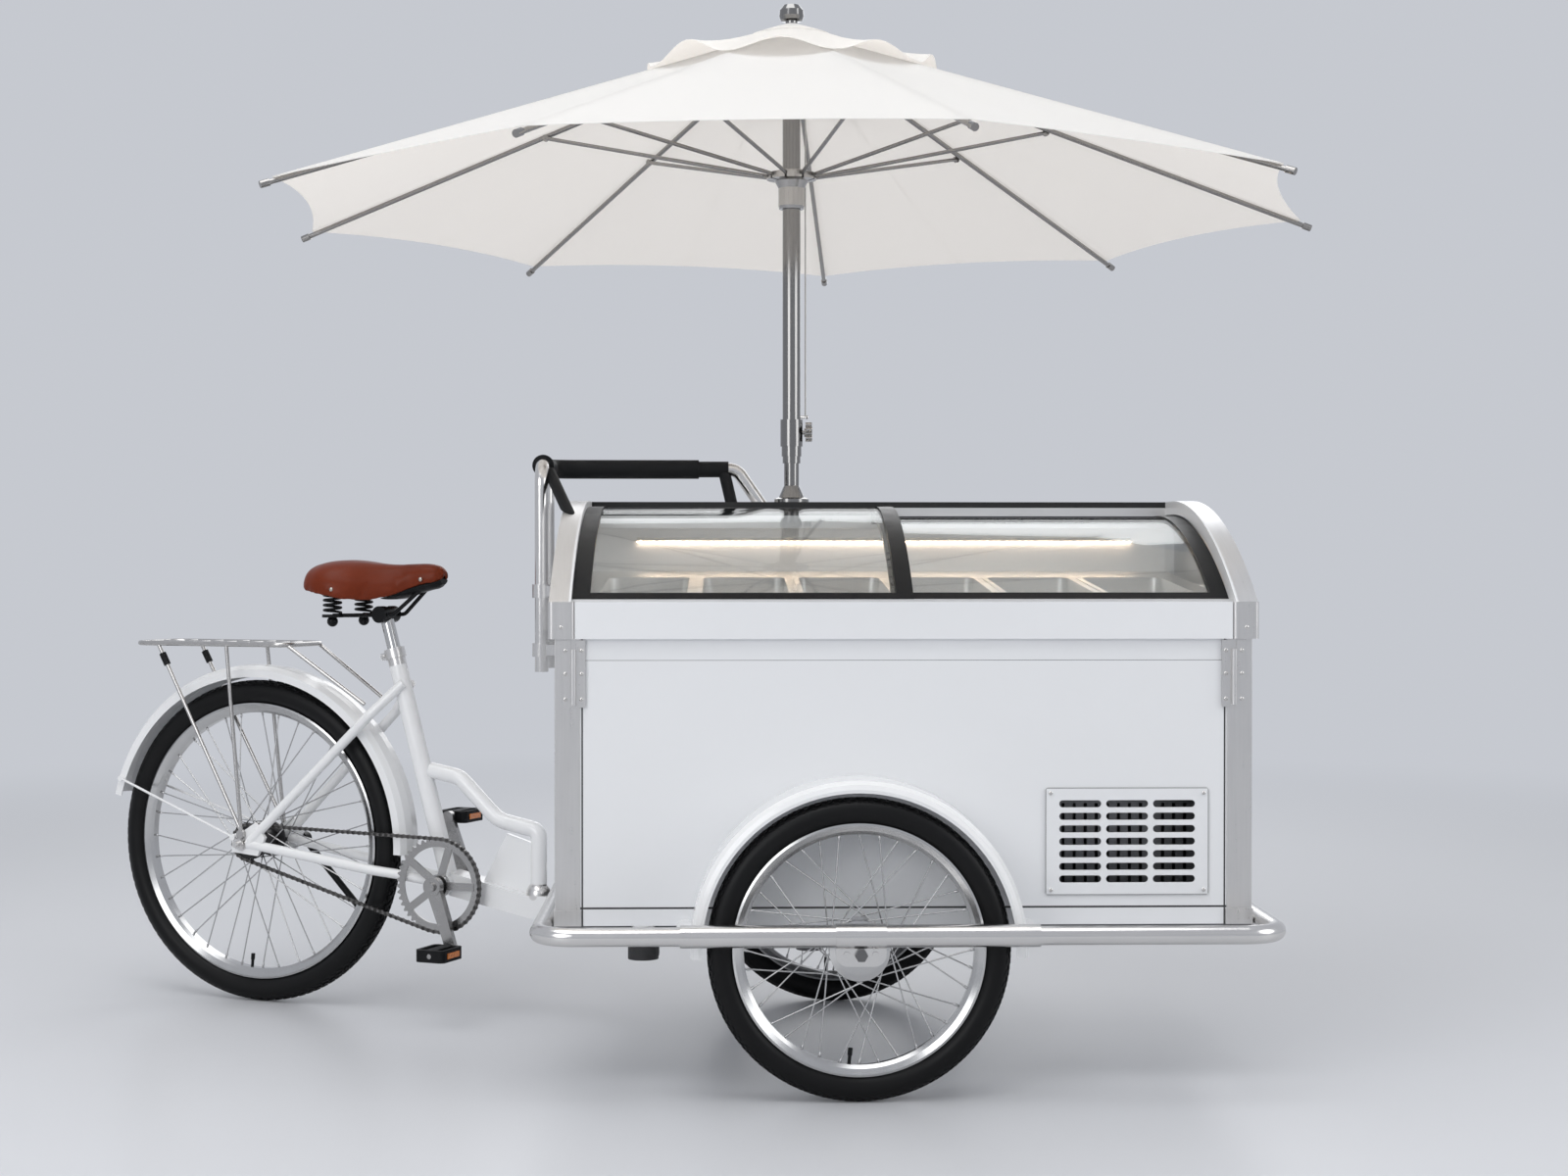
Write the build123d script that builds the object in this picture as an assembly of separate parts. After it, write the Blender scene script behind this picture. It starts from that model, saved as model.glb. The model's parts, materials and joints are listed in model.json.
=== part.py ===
from build123d import *
import math
import os

os.makedirs("parts", exist_ok=True)

# Frame: millimetres, +Z up, floor at Z = 0, +X is the way the cart drives,
# -Y is the chain side. Pieces are drawn about the floor point under the middle of the
# box, and written about the middle of the whole object's footprint.

# Fits
RUN = 0.05  # radial running fit of pins and shafts
FREE = 0.4  # free gap between curved faces that slide past each other
SEAT = 0.1  # gap where a rod end meets the face that holds it

# Box
BOX_L = 1202.0
BOX_W = 740.0
BOX_Z0 = 283.0
RIM_Z0 = 778.0
RIM_Z1 = 842.0
RIM_L = BOX_L + 24.0
RIM_W = BOX_W + 20.0
RIM_SIDE = 57.0  # width of the rim at the ends
RIM_FRONT = 64.0  # width of the rim at the near edge
WALL = 4.0
FOAM = 50.0  # insulation space between tub and walls
TUB_T = 1.2
MACHINE_X = 190.0  # the cold unit's bay starts here
MACHINE_Z = 575.0
POST_LEG = 44.0
POST_T = 2.5
BOOT_H = 27.0
CORNER_L = 45.0
CORNER_PROUD = 1.5

# Curved glass top
HOOD_Z1 = 1031.0
HOOD_Y1 = RIM_W / 2 - 10.0
HOOD_Y0 = HOOD_Y1 - 78.0
ARC_R = 1047.0  # outer radius of the end cheeks
ARC_FRONT = -RIM_W / 2 + 5.0  # foot of the arc on the rim
ARC_Z = HOOD_Z1 - ARC_R
ARC_Y = ARC_FRONT + math.sqrt(ARC_R**2 - (RIM_Z1 - ARC_Z) ** 2)
CHEEK_T = 38.0
CHEEK_RIM = 26.0
SHEET = 2.0
TRACK_H = 4.0
LID_T = 10.0
LID_DROP = 11.0  # outer lid below the cheek
LID_GAP = 8.0  # between the two lids
STRIP = 30.0
LID_LAP = 18.0
GLASS_T = 4.0
LID_BACK = HOOD_Y0 - 6.0
LID_STEP = 18.0  # inner lid ends this far ahead of the outer one
LID_RAIL = 14.0
LID_END = RIM_L / 2 - CHEEK_T - 0.5

# Pans and light
PAN_COUNT = 6
PAN_PITCH = 182.0
PAN_X = 158.0
PAN_Y = 380.0
PAN_DEEP = 150.0
PAN_RIM = 9.0
PAN_T = 1.5
DECK_Y0 = ARC_FRONT + 86.0
DECK_Z0 = 850.0
DECK_TILT = 4.2
DECK_FRONT = 25.0  # strip ahead of the pans
LED_X0 = -485.0
LED_X1 = 505.0
LED_Z = 955.0

DRAIN_X = -454.0
DRAIN_Y = -285.0
DRAIN_R = 21.0

# Vent plate
VENT_X = 386.0
VENT_Z = 427.0
VENT_W = 284.0
VENT_H = 186.0
VENT_COLS = 3
VENT_ROWS = 7
SLOT_W = 73.0
SLOT_H = 12.4
SLOT_PITCH_X = 81.5
SLOT_PITCH_Z = 21.7

# Front wheels and bumper
AXLE_X = -84.0
FRONT_R = 257.0
TRACK_Y = BOX_W / 2 + 95.0
BUMPER_R = 16.0
BUMPER_X = BOX_L / 2 + 22.0
BUMPER_Y = BOX_W / 2 + 155.0
BUMPER_Z = 288.0
BUMPER_BEND = 60.0
SLEEVE_R = 19.0
AXLE_R = 6.0
HUB_HALF = 46.0
FENDER_R = 285.0
FENDER_LIP = 20.0
FENDER_W = 116.0

# Wheels
SPOKE_R = 1.3
WIRE_GAP = 1.6
FRONT_SECTION = 46.0
REAR_SECTION = 50.0
SPOKES = 36

# Steering: the cycle half turns under the box about this upright pin
PIVOT_X = -150.0
YAW = 24.0
PIN_R = 15.0
BEAM_Z1 = 254.0
BEAM_H = 44.0
BEAM_W = 50.0
RAIL_W = 26.0
RAIL_Y = BOX_W / 2 - 120.0

# Cycle half, in its own frame: u forward from the pin, v to the far side, z up
REAR_U = -1230.0
REAR_R = 333.0
BB_U = -778.0
BB_Z = 267.0
CRANK_L = 130.0
CHAIN_V = -47.0
RING_TEETH = 46
COG_TEETH = 18
LINK = 12.7
CRANK_TILT = 19.0  # near crank, forward of straight down
STAY_V = 68.0
NUT_H = 11.0
AXLE_END = 12.0  # bare axle past the nut
COLLAR_U = -903.0
COLLAR_Z = 716.0
NECK_U = -577.0
POST_BORE = 13.7
POST_OUT = 13.6
SPINDLE_R = 9.0
LOCK_H = 20.0
CRANK_V0 = -66.0
PEDAL_PIN = 5.0

# Saddle
SADDLE_Z = 862.0
SADDLE_U = -925.0
SPRING_V = 58.0
SPRING_R = 17.0
WIRE_R = 2.6
SPRING_TURNS = 4
SPRING_LOW = SADDLE_Z - 57.0  # seat of the springs
SPRING_TOP = SADDLE_Z - 11.3
# Sections of the saddle: forward of its middle, half width, lowest and highest
SADDLE_STATIONS = (
    (-164, 40, -2, 22), (-150, 76, -9, 37), (-122, 99, -15, 47), (-86, 105, -22, 50), (-46, 92, -31, 47),
    (-6, 66, -31, 42), (34, 45, -21, 40), (74, 32, -6, 43), (108, 27, 3, 44), (130, 21, 8, 39), (141, 9, 15, 29),
)
SADDLE_SKIRT = 8.0
SADDLE_PAN = -8.0  # underside of the pan inside the skirts
SPRING_PITCH = (SPRING_TOP - SPRING_LOW - 2 * WIRE_R - 2 * SEAT) / SPRING_TURNS

# Umbrella
MAST_X = -175.0
MAST_Y = (HOOD_Y0 + HOOD_Y1) / 2
RIBS = 9
FIRST_RIB = 84.0
HUB_Z = 1962.0
HUB_R = 38.0
TIP_R = 1067.0
TIP_Z = 1601.0
RIB_R = 5.0
STRUT_AT = 515.0
STRUT_R = 4.0
STRUT_SIDE = 9.6
STRUT_BELOW = 5.0
RUNNER_Z = 1688.0
RUNNER_R = 42.0
MAST_R = 18.0
POST_R = 15.0
BLADE_T = 4.0
SLOT_GAP = 0.4
CLOTH = 1.2
CLOTH_LIFT = 8.5
SCALLOP = 50.0
CAP_R = 300.0
CAP_Z = 1992.0
CAP_EDGE_Z = 1914.0
MAST_FOOT = 1110.0
KNOB_Z = 1172.0
KNOB_SHANK = 4.0
CORD_TURN = 30.0
CORD_OUT = 33.0
CORD_R = 1.5

# Handle
HANDLE_Y = MAST_Y + 10.0
HANDLE_Z = 1098.0
HANDLE_X0 = -RIM_L / 2 - 49.0
HANDLE_X1 = -262.0
HANDLE_TUBE = 13.0
HANDLE_FOOT_Y = 112.0  # upright nearest the camera side
HANDLE_LOW_Z = 700.0
HANDLE_LEGS = 169.0  # between the two uprights
BRACKET_Z = (855.0, 742.0)
GRIP_R = 19.0
GRIP_END = HANDLE_X1 - 100.0
LEG_R = 12.0


NODES = {}


def save(name, shape):
    NODES[name] = shape


def group(solids):
    found = []
    for item in solids:
        found.extend(item.solids())
    return Compound(found)


def block(x0, x1, y0, y1, z0, z1):
    size = Box(x1 - x0, y1 - y0, z1 - z0)
    return Pos((x0 + x1) / 2, (y0 + y1) / 2, (z0 + z1) / 2) * size


def rod(start, end, radius, bore=0.0):
    axis = Vector(*end) - Vector(*start)
    face = Circle(radius)
    if bore:
        face = face - Circle(bore)
    return extrude(Plane(origin=start, z_dir=axis) * face, axis.length)


def pipe(points, bend, radius, bore=0.0):
    path = FilletPolyline(*points, radius=bend)
    face = Circle(radius)
    if bore:
        face = face - Circle(bore)
    return sweep(Plane(origin=path @ 0, z_dir=path % 0) * face, path=path)


def along_x(outline, x0, x1):
    """A solid whose (Y, Z) outline runs along X."""
    face = make_face([Plane.YZ * edge for edge in outline])
    return Pos(x0, 0, 0) * extrude(face, x1 - x0, dir=(1, 0, 0))


def across_v(face, v0, v1):
    """A sketch drawn in (u, z) made into a plate from v0 to v1."""
    plate = extrude(Plane.XZ * face, v1 - v0, dir=(0, 1, 0))
    return Pos(0, v0, 0) * plate


def mirror_y(shape):
    return mirror(shape, about=Plane.XZ)


def mirror_x(shape):
    return mirror(shape, about=Plane.YZ)


def arc_z(radius, y):
    """Height of the glass arc of this radius at y."""
    return ARC_Z + math.sqrt(radius**2 - (y - ARC_Y) ** 2)


def arc_y(radius, z):
    """Front y of the glass arc of this radius at height z."""
    return ARC_Y - math.sqrt(radius**2 - (z - ARC_Z) ** 2)


def cabinet():
    outer = block(-BOX_L / 2, BOX_L / 2, -BOX_W / 2, BOX_W / 2, BOX_Z0, RIM_Z0)
    inner = block(
        -BOX_L / 2 + WALL, BOX_L / 2 - WALL, -BOX_W / 2 + WALL, BOX_W / 2 - WALL, BOX_Z0 + WALL, RIM_Z0
    )
    vent = block(
        VENT_X - VENT_W / 2 + 14,
        VENT_X + VENT_W / 2 - 14,
        -BOX_W / 2 - 1,
        -BOX_W / 2 + WALL + 1,
        VENT_Z - VENT_H / 2 + 14,
        VENT_Z + VENT_H / 2 - 14,
    )
    hole = Pos(DRAIN_X, DRAIN_Y, BOX_Z0) * Cylinder(DRAIN_R + FREE, 40)
    return outer - inner - vent - hole


def liner():
    """Stepped sheet tub hung by its flange, with the foam space left round it."""
    x = BOX_L / 2 - WALL
    y = BOX_W / 2 - WALL
    z0 = BOX_Z0 + WALL
    step = MACHINE_X - FOAM

    def well(gap, top):
        high = block(-x + gap, x - gap, -y + gap, y - gap, MACHINE_Z + gap, top)
        low = block(-x + gap, step + FOAM - gap, -y + gap, y - gap, z0 + gap, top)
        return fillet((high + low).edges().filter_by(Axis.Z), 18)

    flange = block(-x, x, -y, y, RIM_Z0 - TUB_T, RIM_Z0)
    return well(FOAM - TUB_T, RIM_Z0) + flange - well(FOAM, RIM_Z0)


def rim_parts():
    ring = block(-RIM_L / 2, RIM_L / 2, -RIM_W / 2, RIM_W / 2, RIM_Z0, RIM_Z1)
    ring = fillet(ring.edges().filter_by(Axis.Z), 10)
    x = RIM_L / 2 - RIM_SIDE
    ring -= block(-x, x, -RIM_W / 2 + RIM_FRONT, HOOD_Y0 - 1, RIM_Z0, RIM_Z1)
    corners = []
    for sx in (-1, 1):
        for sy in (-1, 1):
            x = sx * (RIM_L / 2 - CORNER_L / 2)
            y = sy * (RIM_W / 2 - CORNER_L / 2)
            ring -= Pos(x, y, (RIM_Z0 + RIM_Z1) / 2) * Box(CORNER_L, CORNER_L, RIM_Z1 - RIM_Z0)
            size = CORNER_L + CORNER_PROUD
            piece = Box(size, size, RIM_Z1 - RIM_Z0)
            piece = fillet(piece.edges().filter_by(Axis.Z), 8)
            piece = Pos(sx * CORNER_PROUD / 2, sy * CORNER_PROUD / 2, 0) * piece
            piece -= Pos(-sx * CORNER_L / 2, -sy * CORNER_L / 2, 0) * Box(12, 12, RIM_Z1 - RIM_Z0)
            corners.append(Pos(x, y, (RIM_Z0 + RIM_Z1) / 2) * piece)
    return ring, corners


def posts():
    """Stainless corner angles with a thicker boot at the foot."""
    found = []
    for sx in (-1, 1):
        for sy in (-1, 1):
            x = BOX_L / 2 + POST_T
            y = BOX_W / 2 + POST_T
            angle = block(x - POST_LEG, x, y - POST_LEG, y, BOX_Z0, RIM_Z0)
            boot = block(x - POST_LEG - 2, x + 2, y - POST_LEG - 2, y + 2, BOX_Z0, BOX_Z0 + BOOT_H)
            angle = fillet((angle + boot).edges().filter_by(Axis.Z), 1.2)
            angle -= block(0, BOX_L / 2, 0, BOX_W / 2, BOX_Z0, RIM_Z0)
            if sx < 0:
                angle = mirror_x(angle)
            if sy < 0:
                angle = mirror_y(angle)
            found.append(angle)
    return found


def hinge():
    """Plate hinge with an upright barrel, drawn at the origin with its back on Y = 0."""
    leaf = Box(42, 2.5, 116) - Pos(0, 0, 58) * Box(10, 9, 30)
    holes = [Pos(x, 0, z) * Rot(90, 0, 0) * Cylinder(2.6, 9) for x in (-14, 14) for z in (-44, 0, 40)]
    leaf -= holes
    barrel = Pos(0, -4.5, -6) * Cylinder(5, 96)
    knuckles = [Pos(0, -4.5, z) * (Cylinder(6.2, 1.2) - Cylinder(5, 1.2)) for z in (-36, -6, 24)]
    return Pos(0, -1.25, 0) * (leaf + barrel - knuckles)


def vent_grille():
    plate = Box(VENT_W, 3, VENT_H)
    plate = fillet(plate.edges().filter_by(Axis.Y), 5)
    slot = extrude(Plane.XZ * SlotOverall(SLOT_W, SLOT_H), 8, both=True)
    for col in range(VENT_COLS):
        for row in range(VENT_ROWS):
            x = (col - (VENT_COLS - 1) / 2) * SLOT_PITCH_X
            z = (row - (VENT_ROWS - 1) / 2) * SLOT_PITCH_Z
            plate -= Pos(x, 0, z) * slot
    for sx in (-1, 1):
        for sz in (-1, 1):
            screw = Pos(sx * (VENT_W / 2 - 9), -2, sz * (VENT_H / 2 - 9)) * Rot(90, 0, 0) * Cylinder(4, 3)
            plate += screw
    return Pos(VENT_X, -BOX_W / 2 - 1.5, VENT_Z) * plate


def cheek():
    """Arched end frame of the glass top, drawn for the +X end."""
    x1 = RIM_L / 2
    front = arc_y(ARC_R, RIM_Z1)
    top = ARC_Z + ARC_R
    mid = (front + ARC_Y) / 2
    outline = [
        Line((HOOD_Y1, RIM_Z1), (front, RIM_Z1)),
        ThreePointArc((front, RIM_Z1), (mid, arc_z(ARC_R, mid)), (ARC_Y, top)),
        Line((ARC_Y, top), (HOOD_Y1, top)),
        Line((HOOD_Y1, top), (HOOD_Y1, RIM_Z1)),
    ]
    plate = along_x(outline, x1 - CHEEK_T, x1)
    r = ARC_R - CHEEK_RIM
    z0 = RIM_Z1 + CHEEK_RIM
    y0 = arc_y(r, z0)
    mid = (y0 + ARC_Y) / 2
    y1 = HOOD_Y1 - CHEEK_RIM
    pocket = [
        Line((y1, z0), (y0, z0)),
        ThreePointArc((y0, z0), (mid, arc_z(r, mid)), (ARC_Y, ARC_Z + r)),
        Line((ARC_Y, ARC_Z + r), (y1, ARC_Z + r)),
        Line((y1, ARC_Z + r), (y1, z0)),
    ]
    plate -= along_x(pocket, x1 - CHEEK_T - 1, x1 - 9)
    return plate - along_x(pocket, x1 - 3, x1 + 1)


def hood():
    """Hollow back housing between the cheeks, under the mast."""
    x = RIM_L / 2 - CHEEK_T
    shell = block(-x, x, HOOD_Y0, HOOD_Y1, RIM_Z1, HOOD_Z1)
    core = block(-x, x, HOOD_Y0 + SHEET, HOOD_Y1 - SHEET, RIM_Z1 + SHEET, HOOD_Z1 - SHEET)
    return shell - core


def lid_radius(level):
    """Outer radius of the lid on this level: 0 outer, 1 inner."""
    return ARC_R - LID_DROP - level * (LID_T + LID_GAP)


def lid_back(level):
    return LID_BACK - level * LID_STEP


def lid_rest(level):
    """Height of the flat ledge that carries the back edge of a lid."""
    r = lid_radius(level)
    return arc_z(r, lid_back(level)) - LID_T - 5.0


def lid_band(level, inset, outset, x0, x1, z0):
    """Arched band from the front track to the back ledge."""
    r1 = lid_radius(level) - inset
    r0 = lid_radius(level) - LID_T + outset
    back = lid_back(level)
    front1 = arc_y(r1, z0)
    front0 = arc_y(r0, z0)
    mid1 = (front1 + back) / 2
    mid0 = (front0 + back) / 2
    outline = [
        Line((front0, z0), (front1, z0)),
        ThreePointArc((front1, z0), (mid1, arc_z(r1, mid1)), (back, arc_z(r1, back))),
        Line((back, arc_z(r1, back)), (back, arc_z(r0, back))),
        ThreePointArc((back, arc_z(r0, back)), (mid0, arc_z(r0, mid0)), (front0, z0)),
    ]
    return along_x(outline, x0, x1)


def lid(level, x0, x1):
    """Black lid frame and the bent glass that it holds."""
    z0 = RIM_Z1 + TRACK_H
    back = lid_back(level)
    frame = lid_band(level, 0, 0, x0, x1, z0)
    rail = block(x0, x1, back - LID_RAIL, back, lid_rest(level), arc_z(lid_radius(level), back) - LID_T / 2)
    frame += rail
    hole = block(x0 + STRIP, x1 - STRIP, -BOX_W, back - LID_RAIL, z0 + 11, HOOD_Z1 + 40)
    frame -= hole
    inset = (LID_T - GLASS_T) / 2
    glass = lid_band(level, inset, inset, x0 + STRIP, x1 - STRIP, z0)
    glass = glass & hole
    return frame, glass


def lid_tracks():
    """Front shelf and stepped back ledge that the lids slide on."""
    x = RIM_L / 2 - CHEEK_T
    front = block(-x, x, arc_y(lid_radius(0), RIM_Z1 + TRACK_H) - 2, DECK_Y0 - 1, RIM_Z1, RIM_Z1 + TRACK_H)
    low = block(-x, x, lid_back(1) - 16, HOOD_Y0, lid_rest(1) - 8, lid_rest(1))
    high = block(-x, x, lid_back(1) + 1, HOOD_Y0, lid_rest(1) - 8, lid_rest(0))
    stop = block(-x, x, LID_BACK + 1, HOOD_Y0, lid_rest(1) - 8, HOOD_Z1)
    return [front, low + high + stop]


def deck_z(y):
    return DECK_Z0 + (y - DECK_Y0) * math.tan(math.radians(DECK_TILT))


def pan_deck():
    """Sloped stainless top: strips round the row of pans, a bar between each two, skirts below."""
    x = RIM_L / 2 - CHEEK_T
    slope = Pos(0, DECK_Y0, DECK_Z0) * Rot(DECK_TILT, 0, 0)
    lean = math.cos(math.radians(DECK_TILT))
    middle = (DECK_FRONT + PAN_Y / 2) / lean
    front = middle - PAN_Y / 2 - 0.5
    back = middle + PAN_Y / 2 + 0.5
    run = (HOOD_Y0 - DECK_Y0) / lean - SHEET * math.tan(math.radians(DECK_TILT))
    row = PAN_PITCH * (PAN_COUNT - 1) / 2 + PAN_X / 2 + 0.5
    strips = [(-x, x, 0, front), (-x, x, back, run), (-x, -row, front, back), (row, x, front, back)]
    for i in range(PAN_COUNT - 1):
        bar = (i - PAN_COUNT / 2 + 1) * PAN_PITCH
        half = (PAN_PITCH - PAN_X - 1) / 2
        strips.append((bar - half, bar + half, front, back))
    solids = [slope * block(x0, x1, y0, y1, -SHEET, 0) for x0, x1, y0, y1 in strips]
    low = SHEET / lean
    for x0, x1, y0, y1 in (
        (-x, x, DECK_Y0 + 0.2, DECK_Y0 + SHEET), (-x, x, HOOD_Y0 - SHEET, HOOD_Y0 - 0.2),
        (-x, -x + SHEET, DECK_Y0 + SHEET, HOOD_Y0 - SHEET), (x - SHEET, x, DECK_Y0 + SHEET, HOOD_Y0 - SHEET),
    ):
        outline = [
            Line((y0, RIM_Z1), (y0, deck_z(y0) - low)),
            Line((y0, deck_z(y0) - low), (y1, deck_z(y1) - low)),
            Line((y1, deck_z(y1) - low), (y1, RIM_Z1)),
            Line((y1, RIM_Z1), (y0, RIM_Z1)),
        ]
        solids.append(along_x(outline, x0, x1))
    return solids


def pan_places():
    """A location on the sloped deck for each pan."""
    y = DECK_Y0 + DECK_FRONT + PAN_Y / 2
    places = []
    for i in range(PAN_COUNT):
        x = (i - (PAN_COUNT - 1) / 2) * PAN_PITCH
        places.append(Pos(x, y, deck_z(y)) * Rot(DECK_TILT, 0, 0))
    return places


def pan():
    """Drawn steel pan with tapered walls, rounded corners and a turned-out rim."""
    top = RectangleRounded(PAN_X, PAN_Y, 22)
    foot = Pos(0, 0, -PAN_DEEP) * RectangleRounded(PAN_X - 16, PAN_Y - 16, 18)
    outer = loft([foot, top])
    inner_top = RectangleRounded(PAN_X - 2 * PAN_T, PAN_Y - 2 * PAN_T, 22 - PAN_T)
    inner_foot = Pos(0, 0, -PAN_DEEP + PAN_T) * RectangleRounded(
        PAN_X - 16 - 2 * PAN_T, PAN_Y - 16 - 2 * PAN_T, 18 - PAN_T
    )
    flange = extrude(RectangleRounded(PAN_X + 2 * PAN_RIM, PAN_Y + 2 * PAN_RIM, 22 + PAN_RIM), PAN_T)
    mouth = extrude(inner_top, PAN_T)
    return outer + flange - loft([inner_foot, inner_top]) - mouth


def cold_unit():
    """Compressor, finned condenser and fan cowl on a tray in the bay."""
    z0 = BOX_Z0 + WALL
    x0 = MACHINE_X + 25
    tray = block(x0, x0 + 350, -250, 250, z0, z0 + 4)
    can = Pos(x0 + 230, 90, z0 + 4) * Cylinder(68, 150, align=(Align.CENTER, Align.CENTER, Align.MIN))
    can = fillet(can.edges().filter_by(GeomType.CIRCLE), 30)
    fins = block(x0 + 20, x0 + 320, -210, -160, z0 + 4, z0 + 204)
    for i in range(14):
        x = x0 + 40 + i * 20
        fins -= block(x, x + 6, -211, -175, z0 + 20, z0 + 190)
    cowl = block(x0 + 60, x0 + 280, -160, -118, z0 + 4, z0 + 200)
    cowl -= Pos(x0 + 170, -139, z0 + 104) * Rot(90, 0, 0) * Cylinder(84, 60)
    return [tray, can, fins, cowl]


def bumper():
    loop = Pos(0, 0, BUMPER_Z) * RectangleRounded(2 * BUMPER_X, 2 * BUMPER_Y, BUMPER_BEND)
    path = loop.face().outer_wire()
    ring = Plane(origin=path @ 0, z_dir=path % 0) * Circle(BUMPER_R)
    tube = sweep(ring, path=path)
    for sy in (-1, 1):
        y = sy * BUMPER_Y
        tube += rod((-385, y, BUMPER_Z), (215, y, BUMPER_Z), SLEEVE_R)
        tube += rod((AXLE_X - 42, y, BUMPER_Z), (AXLE_X + 42, y, BUMPER_Z), SLEEVE_R + 2)
        lug = Pos(AXLE_X, y, BUMPER_Z - 26) * Box(84, 12, 48)
        lug = fillet(lug.edges().filter_by(Axis.Y).group_by(Axis.Z)[0], 20)
        lug -= Pos(AXLE_X, y, FRONT_R) * Rot(90, 0, 0) * Cylinder(AXLE_R, 40)
        tube += lug
        for sx in (-1, 1):
            bolt = Pos(AXLE_X + sx * 24, y, FRONT_R) * Rot(90, 0, 0) * Cylinder(6, 20)
            tube += bolt
    core = sweep(Plane(origin=path @ 0, z_dir=path % 0) * Circle(BUMPER_R - 2.5), path=path)
    return tube - core, tube


def bumper_runs(tube):
    """The bumper's straight runs and bends, joined end to end."""
    x = BUMPER_X - BUMPER_BEND
    y = BUMPER_Y - BUMPER_BEND
    far = BUMPER_X + BUMPER_Y
    spans_x = ((-far, -x), (-x, x), (x, far))
    spans_y = ((-far, -y), (-y, y), (y, far))
    runs = []
    for i, (x0, x1) in enumerate(spans_x):
        for j, (y0, y1) in enumerate(spans_y):
            if (i, j) != (1, 1):
                runs.append(tube & block(x0, x1, y0, y1, 0, 2 * BUMPER_Z))
    return runs


def chassis(bumper_room):
    """Welded under-frame with the steering pin and the two stub axles."""
    z0 = BEAM_Z1 + 2
    x = BOX_L / 2
    frame = []
    for sy in (-1, 1):
        frame.append(block(3 - x, x - 3, sy * RAIL_Y - RAIL_W / 2, sy * RAIL_Y + RAIL_W / 2, z0 + 5, BOX_Z0))
        plate = block(AXLE_X - 40, AXLE_X + 40, BOX_W / 2 - 8, BOX_W / 2 + 2, FRONT_R - 26, BOX_Z0)
        plate += block(AXLE_X - 40, AXLE_X + 40, RAIL_Y + 10, BOX_W / 2, z0 + 2, BOX_Z0)
        frame.append(plate if sy > 0 else mirror_y(plate))
        frame.append(rod((AXLE_X, sy * (BOX_W / 2 - 8), FRONT_R), (AXLE_X, sy * (BUMPER_Y + 12), FRONT_R), AXLE_R))
        for y0, y1 in ((BOX_W / 2 + 2, TRACK_Y - HUB_HALF), (TRACK_Y + HUB_HALF, BUMPER_Y - 6)):
            frame.append(rod((AXLE_X, sy * y0, FRONT_R), (AXLE_X, sy * y1, FRONT_R), 10))
        nut = extrude(RegularPolygon(11, 6), 9)
        frame.append(Pos(AXLE_X, sy * (BUMPER_Y + 6), FRONT_R) * Rot(-90 * sy, 0, 0) * nut)
    for bar in (41 - x, 251 - x, AXLE_X, x - 351, x - 41):
        frame.append(block(bar - RAIL_W / 2, bar + RAIL_W / 2, -RAIL_Y, RAIL_Y, z0 + 5, BOX_Z0))
    frame.append(block(PIVOT_X - 90, PIVOT_X + 90, -110, 110, z0, BOX_Z0))
    for sx in (-1, 1):
        for sy in (-1, 1):
            foot = block(x - 11, BUMPER_X + 8, RAIL_Y - 25, RAIL_Y + 25, BUMPER_Z - 28, BOX_Z0 - 2)
            foot = foot if sx > 0 else mirror_x(foot)
            frame.append(foot if sy > 0 else mirror_y(foot))
    frame.append(Pos(PIVOT_X, 0, z0 - 64) * Cylinder(PIN_R, 64, align=(Align.CENTER, Align.CENTER, Align.MIN)))
    frame.append(Pos(PIVOT_X, 0, z0 - 64) * Cylinder(26, 10, align=(Align.CENTER, Align.CENTER, Align.MAX)))
    solid = frame[0]
    for item in frame[1:]:
        solid = solid + item
    return solid - bumper_room


def front_fender():
    """Half-round mudguard with a turned-down lip, for the near side."""
    y0 = -BOX_W / 2
    y1 = y0 - FENDER_W
    r = FENDER_R
    t = 2.0
    profile = Polyline(
        (r, y0), (r, y1 + 14), (r - 6, y1 + 3), (r - 14, y1), (r - FENDER_LIP, y1 + 1),
        (r - FENDER_LIP, y1 + 1 + t), (r - 14, y1 + t), (r - 6 - t, y1 + 3 + t), (r - t, y1 + 15), (r - t, y0),
        close=True,
    )
    shell = revolve(Plane.XY * make_face(profile), axis=Axis.Y, revolution_arc=186)
    shell = Rot(0, 177, 0) * shell
    for sx in (-1, 1):
        tab = Pos(sx * (r + 10), y0 - 2, 22) * Rot(90, 0, 0) * Cylinder(15, 4)
        tab -= Pos(0, 0, 0) * Rot(90, 0, 0) * Cylinder(r - 1, 2 * BOX_W)
        shell += tab
    return Pos(AXLE_X, 0, FRONT_R) * shell


def drain():
    """Drain outlet under the near rear corner of the tub."""
    top = BOX_Z0 + WALL
    neck = rod((0, 0, top + FOAM - TUB_T), (0, 0, top - 34), DRAIN_R)
    body = rod((0, 0, top - 34), (0, 0, top - 74), DRAIN_R + 6)
    spout = Pos(8, 0, top - 56) * Box(40, 30, 22)
    return Pos(DRAIN_X, DRAIN_Y, 0) * (neck + body + spout)


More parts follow.
